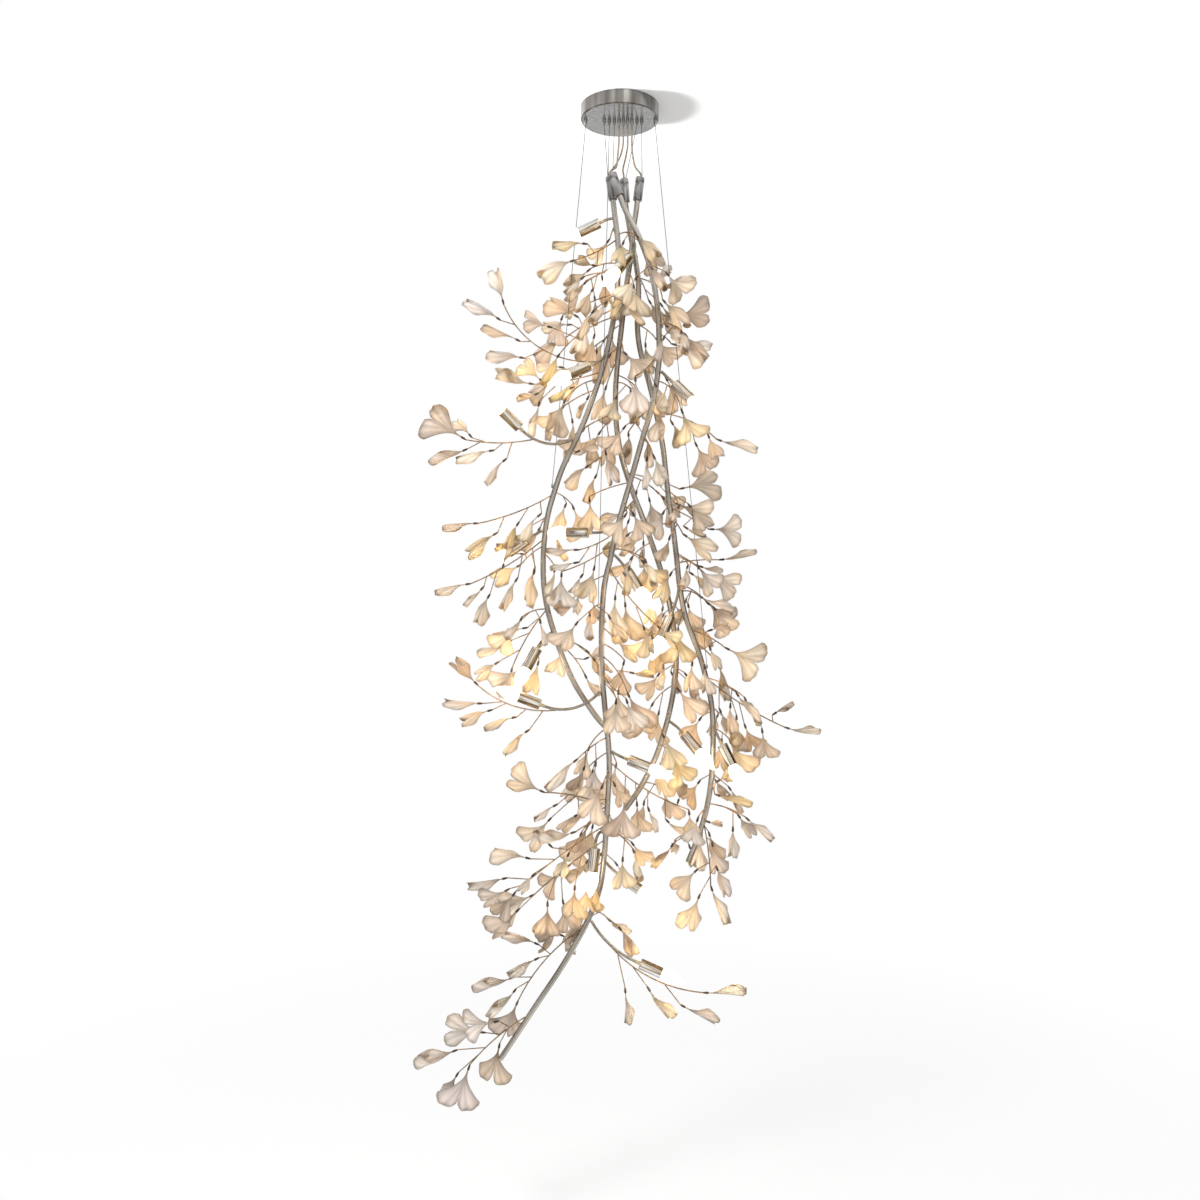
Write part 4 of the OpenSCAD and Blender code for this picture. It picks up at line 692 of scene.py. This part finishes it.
def leaf_points(base, u, side, n, length, turn, curl, seed):
    """A thin ginkgo leaf of two lobes, rolled up by curl: its points in mm, uvs and painted shade.

    v runs across the leaf from -1 to 1, and q along the blade from 0 to 1; x, y and z are the
    places along, across and out of the leaf's plane.
    """
    r = np.random.default_rng(seed)
    v = np.linspace(-1, 1, LEAF_COLS)[None, :]
    a = np.abs(v)
    # the blade's outline, as shares of the length
    neck = r.uniform(0.1, 0.17)
    cleft = r.uniform(-0.13, 0.05) * np.clip(1 - a * 4, 0, 1)
    uneven = 1 + r.uniform(-0.11, 0.11) * v
    ripple = 0.016 * np.sin(r.uniform(17, 24) * v + r.uniform(0, 6)) * (a < 0.85)
    rim_x = np.clip((np.interp(a, RIM[:, 0], RIM[:, 1]) + cleft) * uneven + ripple, 0.3, 1.0)
    rim_y = np.interp(a, RIM[:, 0], RIM[:, 2]) * np.sign(v)
    q = np.linspace(0, 1, BLADE_ROWS)[:, None]
    x = neck + (rim_x - neck) * q
    width = (0.6 - 0.18 * curl) * r.uniform(0.92, 1.06)
    y = width * rim_y * q ** (r.uniform(1.65, 1.95) - 0.65 * curl) + 0.02 * v * (1 - q)
    # the stalk's rows go before the blade's
    stalk = np.linspace(0, 1, STALK_ROWS + 1)[:-1, None]
    x = np.vstack([neck * stalk + 0 * v, x]) * length
    y = np.vstack([0.016 * v * (1 + 0.25 * stalk), y]) * length
    q = np.vstack([0 * stalk, q])
    # the flat leaf is rolled up about its length, then waved, twisted and bent
    bow = (0.7 + 7.4 * curl) / length * (0.75 + 0.5 * q * q)
    z = turn * (1 - np.cos(bow * y)) / bow
    y = np.sin(bow * y) / bow
    wavy = r.uniform(0.01, 0.03) * length * q ** 2
    z += wavy * np.sin(r.uniform(4, 8) * v + r.uniform(0, 6)) * (0.35 + a)
    twist = math.radians(r.uniform(-38, 38)) * q ** 2
    y, z = y * np.cos(twist) - z * np.sin(twist), y * np.sin(twist) + z * np.cos(twist)
    z += r.uniform(-0.12, 0.12) * length * q ** 2.5
    # ribs stand out along the sheet's own normals
    sheet = base + u * x[..., None] + side * y[..., None] + n * z[..., None]
    over = np.cross(np.gradient(sheet, axis=0), np.gradient(sheet, axis=1))
    over /= np.linalg.norm(over, axis=2, keepdims=True)
    ribs = np.cos(math.pi * RIB_WAVES * v)
    sheet = sheet + over * (0.55 * q * ribs)[..., None]
    # half the thickness to each side, less at the edges, and round on the stalk
    edge = np.minimum(1, (1 - a) * 7 + 0.35) * np.minimum(1, (1 - q) * 9 + 0.35)
    half = np.where(q > 0, (1.05 - 0.4 * q) * edge, np.sqrt(np.clip(1 - v * v, 0.12, 1)) * 1.1)
    up = np.sign(np.sum(over * np.cross(u, side), axis=2).mean()) * over
    points = np.vstack([(sheet + up * half[..., None]).reshape(-1, 3),
                        (sheet - up * half[..., None]).reshape(-1, 3)])
    uv = np.stack(np.broadcast_arrays(0.5 + 0.5 * v, q), -1).reshape(-1, 2)
    # painted shade: darker at the rim, between the ribs and towards the stalk, times soft blotches
    # of random tone
    painted_rim_shade = 1 - 0.68 * np.clip(1 - np.minimum((1 - a) * 7, (1 - q) * 8), 0, 1)
    across = np.sin(r.uniform(2, 5) * v + r.uniform(0, 6))
    along = np.sin(r.uniform(2, 6) * q + r.uniform(0, 6))
    blotch = 1 + 0.1 * across * along
    painted_shade = painted_rim_shade * (0.85 + 0.15 * ribs) * blotch * np.where(q < 0.35, 0.45 + 1.5 * q, 0.975)
    return points, np.vstack([uv, uv]), np.concatenate([painted_shade.ravel(), painted_shade.ravel()])


# leaf colours: grey far from the bulbs, peach for warmth that is partly painted bulb light and
# partly random tone, and yellow for painted bulb light right beside a bulb
GREY = np.array([[0.84, 0.8, 0.78], [0.77, 0.72, 0.71], [0.9, 0.87, 0.84], [0.7, 0.65, 0.64]])
PEACH = np.array([[0.89, 0.73, 0.54], [0.87, 0.65, 0.44], [0.92, 0.82, 0.66], [0.83, 0.66, 0.5]])
PAINTED_GLOW_YELLOW = np.array([[0.94, 0.76, 0.36], [0.92, 0.68, 0.28], [0.96, 0.84, 0.52]])


def share(x, most=1):
    """x held between 0 and most."""
    return min(max(x, 0), most)


def leaf_tone_with_painted_light(place):
    """A leaf's tone with painted bulb light: greyish far from the bulbs, painted warmer near them
    with a random spread, painted yellow right beside one.
    """
    away = np.linalg.norm(glows - place, axis=1).min()
    # painted warm light from the nearest bulb, plus a random spread of tone
    warmth_painted_and_random = share(1.25 * math.exp(-away / 170) + rng.uniform(-0.28, 0.3))
    tone_with_painted_light = GREY[rng.integers(4)] * (1 - warmth_painted_and_random) + PEACH[rng.integers(4)] * warmth_painted_and_random
    # painted yellow glow right beside a bulb
    painted_bulb_glow = share(2.2 * math.exp(-away / 45) + rng.uniform(-0.2, 0.2), 0.9)
    tone_with_painted_light = tone_with_painted_light * (1 - painted_bulb_glow) + PAINTED_GLOW_YELLOW[rng.integers(3)] * painted_bulb_glow
    return tone_with_painted_light * rng.uniform(0.86, 1.06)


def leaf_like(p, base, u, seed):
    """A leaf in place of the folded CAD leaf with points p, whose stalk starts at base along u."""
    rel = p - base
    along = rel @ u
    length = along.max()
    flat = rel - np.outer(along, u)
    far = flat[along > 0.5 * length]
    side_way = np.linalg.svd(far, full_matrices=False)[2][0]
    side_way = unit(side_way - u * np.dot(side_way, u))
    n = np.cross(u, side_way)
    slope = -np.polyfit(np.abs(far @ side_way), far @ n, 1)[0]
    # leaves that are seen edge on are rolled up more
    facing = abs(np.dot(n, unit(EYE - p.mean(0))))
    curl = share((0.95 - facing) / 0.36 + rng.uniform(-0.2, 0.25))
    turn = -1 if slope > 0 else 1
    return leaf_points(base, u, side_way, n, length, turn, curl, seed)


box_from, box_to = np.array(cad_box) / MM
for b in BRANCHES:
    ferrules = [long_axis(p) for p in island_points(f"{b}_ferrules")]
    points, faces, uvs, tones_with_painted_light, found = [], [], [], [], []
    for number, p in enumerate(island_points(f"{b}_leaves")):
        c, u, half = min(ferrules, key=lambda f: np.min(np.linalg.norm(p - f[0], axis=1)))
        u = u if np.dot(p.mean(0) - c, u) > 0 else -u
        found.append((c - u * half, u))
        leaf, uv, painted_shade = leaf_like(p, c + u * STALK_IN_FERRULE, u, 1000 * len(b) + number)
        faces.append(LEAF_FACES + len(points) * len(leaf))
        # a rolled tip stays inside the part's own box
        points.append(np.clip(leaf, box_from, box_to))
        uvs.append(uv)
        # each leaf's tone with painted bulb light, times its painted shade
        tones_with_painted_light.append(np.clip(painted_shade[:, None] * leaf_tone_with_painted_light(p.mean(0)), 0, 1))
    piece = mesh_piece(f"{b}_leaf_blades", np.vstack(points), np.vstack(faces).tolist(),
                       np.vstack(uvs))
    layer = piece.data.color_attributes.new("tone_with_painted_light", "FLOAT_COLOR", "POINT")
    tones_with_painted_light = np.vstack(tones_with_painted_light)
    rgba = np.hstack([tones_with_painted_light, np.ones((len(tones_with_painted_light), 1))])
    layer.data.foreach_set("color", rgba.astype(np.float32).ravel())
    finished(piece, CLUSTER, "porcelain_leaf", leaf_porcelain, f"{b}_leaves")
    piece = mesh_piece(f"{b}_ferrule_caps", *lathe(found, ferrule_profile, 18))
    finished(piece, CLUSTER, "dark_ferrule", ferrule_metal, f"{b}_ferrules")

# ---------- braze beads at the twigs' ends ----------

# the depth of a twig's end that is measured for its radius, and the radii that it may have
END_DEPTH = 0.9
THIN_TWIG_R, THICK_TWIG_R = 1.3, 1.7
# a bead's radius next to its twig's, and its half length next to its radius
BEAD_WIDER, BEAD_LONGER = 1.22, 1.15

for b in BRANCHES:
    parts = []
    for p in island_points(f"{b}_twigs"):
        mid, u, half = long_axis(p)
        s = (p - mid) @ u
        for end in (-1, 1):
            tip = p[s * end > half - END_DEPTH]
            spread = np.linalg.norm(tip - tip.mean(0), axis=1).max()
            radius = min(max(spread, THIN_TWIG_R), THICK_TWIG_R) * BEAD_WIDER
            profile = [[radius * math.sin(a), -BEAD_LONGER * radius * math.cos(a)]
                       for a in np.linspace(0.02, math.pi - 0.02, 8)]
            parts.append(lathe([((tip.max(0) + tip.min(0)) / 2, u)], profile, 12))
    piece = mesh_piece(f"{b}_braze_beads", *merged(parts))
    finished(piece, CLUSTER, "bronze_twig", twig_metal)

# ---------- finishes of the CAD nodes that stay ----------

KEPT = {
    zinc: ["ceiling_bracket"],
    part_chrome: ["canopy_side_screws", "gripper_bodies", "cord_glands", "wire_lugs"]
    + [n for n in NODES if n.startswith("nozzle_")],
    pale_plastic: ["terminal_block", "inner_leads", "lamp_leads"]
    + [f"{b}_branch_wiring" for b in BRANCHES],
    brass: ["terminal_screws", "gripper_nuts", "arm_lock_nuts", "lamp_nipples", "tube_end_plugs",
            "bulb_bases"],
    wire_metal: ["suspension_wires", "wire_stops", "wire_tails"],
    black_plastic: ["gland_nuts", "cap_grub_screws"],
    arm_metal: ["lamp_arms"],
    twig_metal: [f"{b}_twigs" for b in BRANCHES],
    holder_white: ["lamp_holders"]}
for material, names in KEPT.items():
    for name in names:
        for slot in NODES[name].material_slots:
            slot.material = material

# ---------- studio, in metres ----------

FLOOR_Z = -3.0
CEILING_Z = 0.0012
WHITE = (1, 1, 1, 1)


def any_of(tree, *outs):
    """1 where any of the outs is 1."""
    out = outs[0]
    for other in outs[1:]:
        node = tree.nodes.new("ShaderNodeMath")
        node.operation = "MAXIMUM"
        tree.links.new(out, node.inputs[0])
        tree.links.new(other, node.inputs[1])
        out = node.outputs[0]
    return out


def distance_fade(tree, near, far, near_value):
    """near_value up to near metres from the surface's middle, and 1 beyond far."""
    coords = tree.nodes.new("ShaderNodeTexCoord")
    away = tree.nodes.new("ShaderNodeVectorMath")
    away.operation = "LENGTH"
    tree.links.new(coords.outputs["Object"], away.inputs[0])
    fade = tree.nodes.new("ShaderNodeMapRange")
    for socket, value in (("From Min", near), ("From Max", far), ("To Min", near_value),
                          ("To Max", 1.0)):
        fade.inputs[socket].default_value = value
    tree.links.new(away.outputs["Value"], fade.inputs["Value"])
    return fade.outputs["Result"]


def mix_shaders(tree, fac, one, other):
    node = tree.nodes.new("ShaderNodeMixShader")
    tree.links.new(fac, node.inputs["Fac"])
    tree.links.new(one, node.inputs[1])
    tree.links.new(other, node.inputs[2])
    return node.outputs["Shader"]


def stage_material(name, color, near_white, near, far, one_sided=False):
    """A matt surface that goes over to plain white away from the object, where it is seen."""
    material = bpy.data.materials.new(name)
    material.use_nodes = True
    tree = material.node_tree
    bsdf = tree.nodes["Principled BSDF"]
    bsdf.inputs["Base Color"].default_value = (*color, 1)
    bsdf.inputs["Roughness"].default_value = 0.9
    bsdf.inputs["Specular IOR Level"].default_value = 0.0
    glow = tree.nodes.new("ShaderNodeEmission")
    glow.inputs["Color"].default_value = WHITE
    path = tree.nodes.new("ShaderNodeLightPath")
    power = tree.nodes.new("ShaderNodeMath")
    power.operation = "MULTIPLY"
    tree.links.new(any_of(tree, path.outputs["Is Camera Ray"], path.outputs["Is Glossy Ray"]),
                   power.inputs[0])
    tree.links.new(distance_fade(tree, near, far, near_white), power.inputs[1])
    shown = mix_shaders(tree, power.outputs[0], bsdf.outputs["BSDF"], glow.outputs["Emission"])
    if one_sided:
        facing = tree.nodes.new("ShaderNodeNewGeometry")
        clear = tree.nodes.new("ShaderNodeBsdfTransparent")
        shown = mix_shaders(tree, facing.outputs["Backfacing"], shown, clear.outputs["BSDF"])
    tree.links.new(shown, tree.nodes["Material Output"].inputs["Surface"])
    return material


def plane(name, height, half_x, half_y, material, faces_down=False):
    """A level stage surface round the object's axis."""
    verts = [(sx * half_x, sy * half_y, 0) for sx, sy in ((-1, -1), (1, -1), (1, 1), (-1, 1))]
    mesh = bpy.data.meshes.new(name)
    mesh.from_pydata(verts, [], [(3, 2, 1, 0) if faces_down else (0, 1, 2, 3)])
    mesh.materials.append(material)
    obj = link(name, mesh)
    obj.location = (0, 0, height)
    return obj


floor_material = stage_material("floor", (0.88, 0.88, 0.87), 0.72, 0.7, 2.8)
floor = plane("floor", FLOOR_Z, 14, 14, floor_material)
ceiling_material = stage_material("ceiling", (0.6, 0.6, 0.6), 0.08, 0.22, 0.5, one_sided=True)
ceiling = plane("ceiling", CEILING_Z, 1.2, 0.9, ceiling_material, faces_down=True)
ceiling.visible_shadow = False


def reflection_card(name, verts, faces, color):
    """A dark card that only reflections see."""
    material = bpy.data.materials.new(name)
    material.use_nodes = True
    tree = material.node_tree
    tree.nodes.clear()
    glow = tree.nodes.new("ShaderNodeEmission")
    glow.inputs["Color"].default_value = (*color, 1)
    out = tree.nodes.new("ShaderNodeOutputMaterial")
    tree.links.new(glow.outputs[0], out.inputs["Surface"])
    mesh = bpy.data.meshes.new(name)
    mesh.from_pydata(verts, [], faces)
    mesh.materials.append(material)
    obj = link(name, mesh)
    for ray in ("camera", "diffuse", "transmission", "shadow", "volume_scatter"):
        setattr(obj, f"visible_{ray}", False)


# upright cards round the object: from and to in degrees, + to the right, and colour
SCREENS = [(-30, -12, (0.34, 0.3, 0.26)), (14, 30, (0.5, 0.45, 0.4)),
           (56, 104, (0.07, 0.055, 0.045)), (116, 138, (0.3, 0.24, 0.18)),
           (152, 172, (0.14, 0.12, 0.1)), (-76, -52, (0.12, 0.09, 0.07)),
           (-132, -98, (0.05, 0.04, 0.035)), (-168, -150, (0.3, 0.25, 0.2))]
SCREEN_R = 3.6
SCREEN_STEPS = 5
for k, (low, high, color) in enumerate(SCREENS):
    verts = []
    for degree in np.linspace(low, high, SCREEN_STEPS + 1):
        a = math.radians(degree)
        verts += [(SCREEN_R * math.sin(a), -SCREEN_R * math.cos(a), z) for z in (-2.95, 1.4)]
    faces = [(i, i + 2, i + 3, i + 1) for i in range(0, 2 * SCREEN_STEPS, 2)]
    reflection_card(f"screen_{k}", verts, faces, color)

# level rings below and above the object: height, inner and outer radius, and colour
RINGS = {"low_screen": (-2.9, 0.9, 2.2, (0.3, 0.26, 0.22)),
         "high_screen": (1.4, 1.0, 2.6, (0.22, 0.19, 0.16))}
RING_STEPS = 48
for name, (z, inner, outer, color) in RINGS.items():
    verts = []
    for k in range(RING_STEPS):
        a = 2 * math.pi * k / RING_STEPS
        verts += [(r * math.cos(a), r * math.sin(a), z) for r in (inner, outer)]
    count = len(verts)
    faces = [(i, i + 1, (i + 3) % count, (i + 2) % count) for i in range(0, count, 2)]
    reflection_card(name, verts, faces, color)

# the world is plain white where it is seen, and lights the object at half that
AMBIENT = 0.5
world = bpy.data.worlds.new("studio")
scene.world = world
world.use_nodes = True
tree = world.node_tree
path = tree.nodes.new("ShaderNodeLightPath")
seen = any_of(tree, path.outputs["Is Camera Ray"], path.outputs["Is Glossy Ray"],
              path.outputs["Is Transmission Ray"])
level = tree.nodes.new("ShaderNodeMapRange")
level.inputs["To Min"].default_value = AMBIENT
level.inputs["To Max"].default_value = 1.0
tree.links.new(seen, level.inputs["Value"])
background = tree.nodes["Background"]
background.inputs["Color"].default_value = WHITE
tree.links.new(level.outputs["Result"], background.inputs["Strength"])


def aim(obj, way):
    """Turns a lamp so that it shines along way."""
    obj.rotation_euler = Vector(way).to_track_quat("-Z", "Y").to_euler()


def area(name, place, target, size, energy):
    """A round soft light at place."""
    light = bpy.data.lights.new(name, "AREA")
    light.shape = "DISK"
    light.size = size
    light.energy = energy
    obj = link(name, light)
    obj.location = place
    aim(obj, Vector(target) - Vector(place))
    obj.visible_glossy = False


area("key", (-2.2, -2.6, 0.6), (0, 0, -1.2), 1.0, 185)
area("fill", (1.5, -3.0, -2.3), (0, 0, -1.6), 1.6, 75)


def collection_of(name, *objects):
    """A light-linking collection, not part of the scene."""
    group = bpy.data.collections.new(name)
    for obj in objects:
        group.objects.link(obj)
    return group


# a low light that only the ceiling receives, for the shadow beside the canopy
low_sun = bpy.data.lights.new("ceiling_light", "SUN")
low_sun.energy = 14
low_sun.angle = math.radians(12)
low = link("ceiling_light", low_sun)
aim(low, (1.0, 0.1, 0.3))
low.light_linking.receiver_collection = collection_of("ceiling_only", ceiling)
low.light_linking.blocker_collection = collection_of("canopy_only", side, face)

# the bulbs light everything but the stage
unlit = collection_of("all_but_the_stage", ceiling, floor)
for member in unlit.collection_objects:
    member.light_linking.link_state = "EXCLUDE"
for lamp in bulb_lights:
    lamp.light_linking.receiver_collection = unlit

scene.view_settings.view_transform = "Standard"
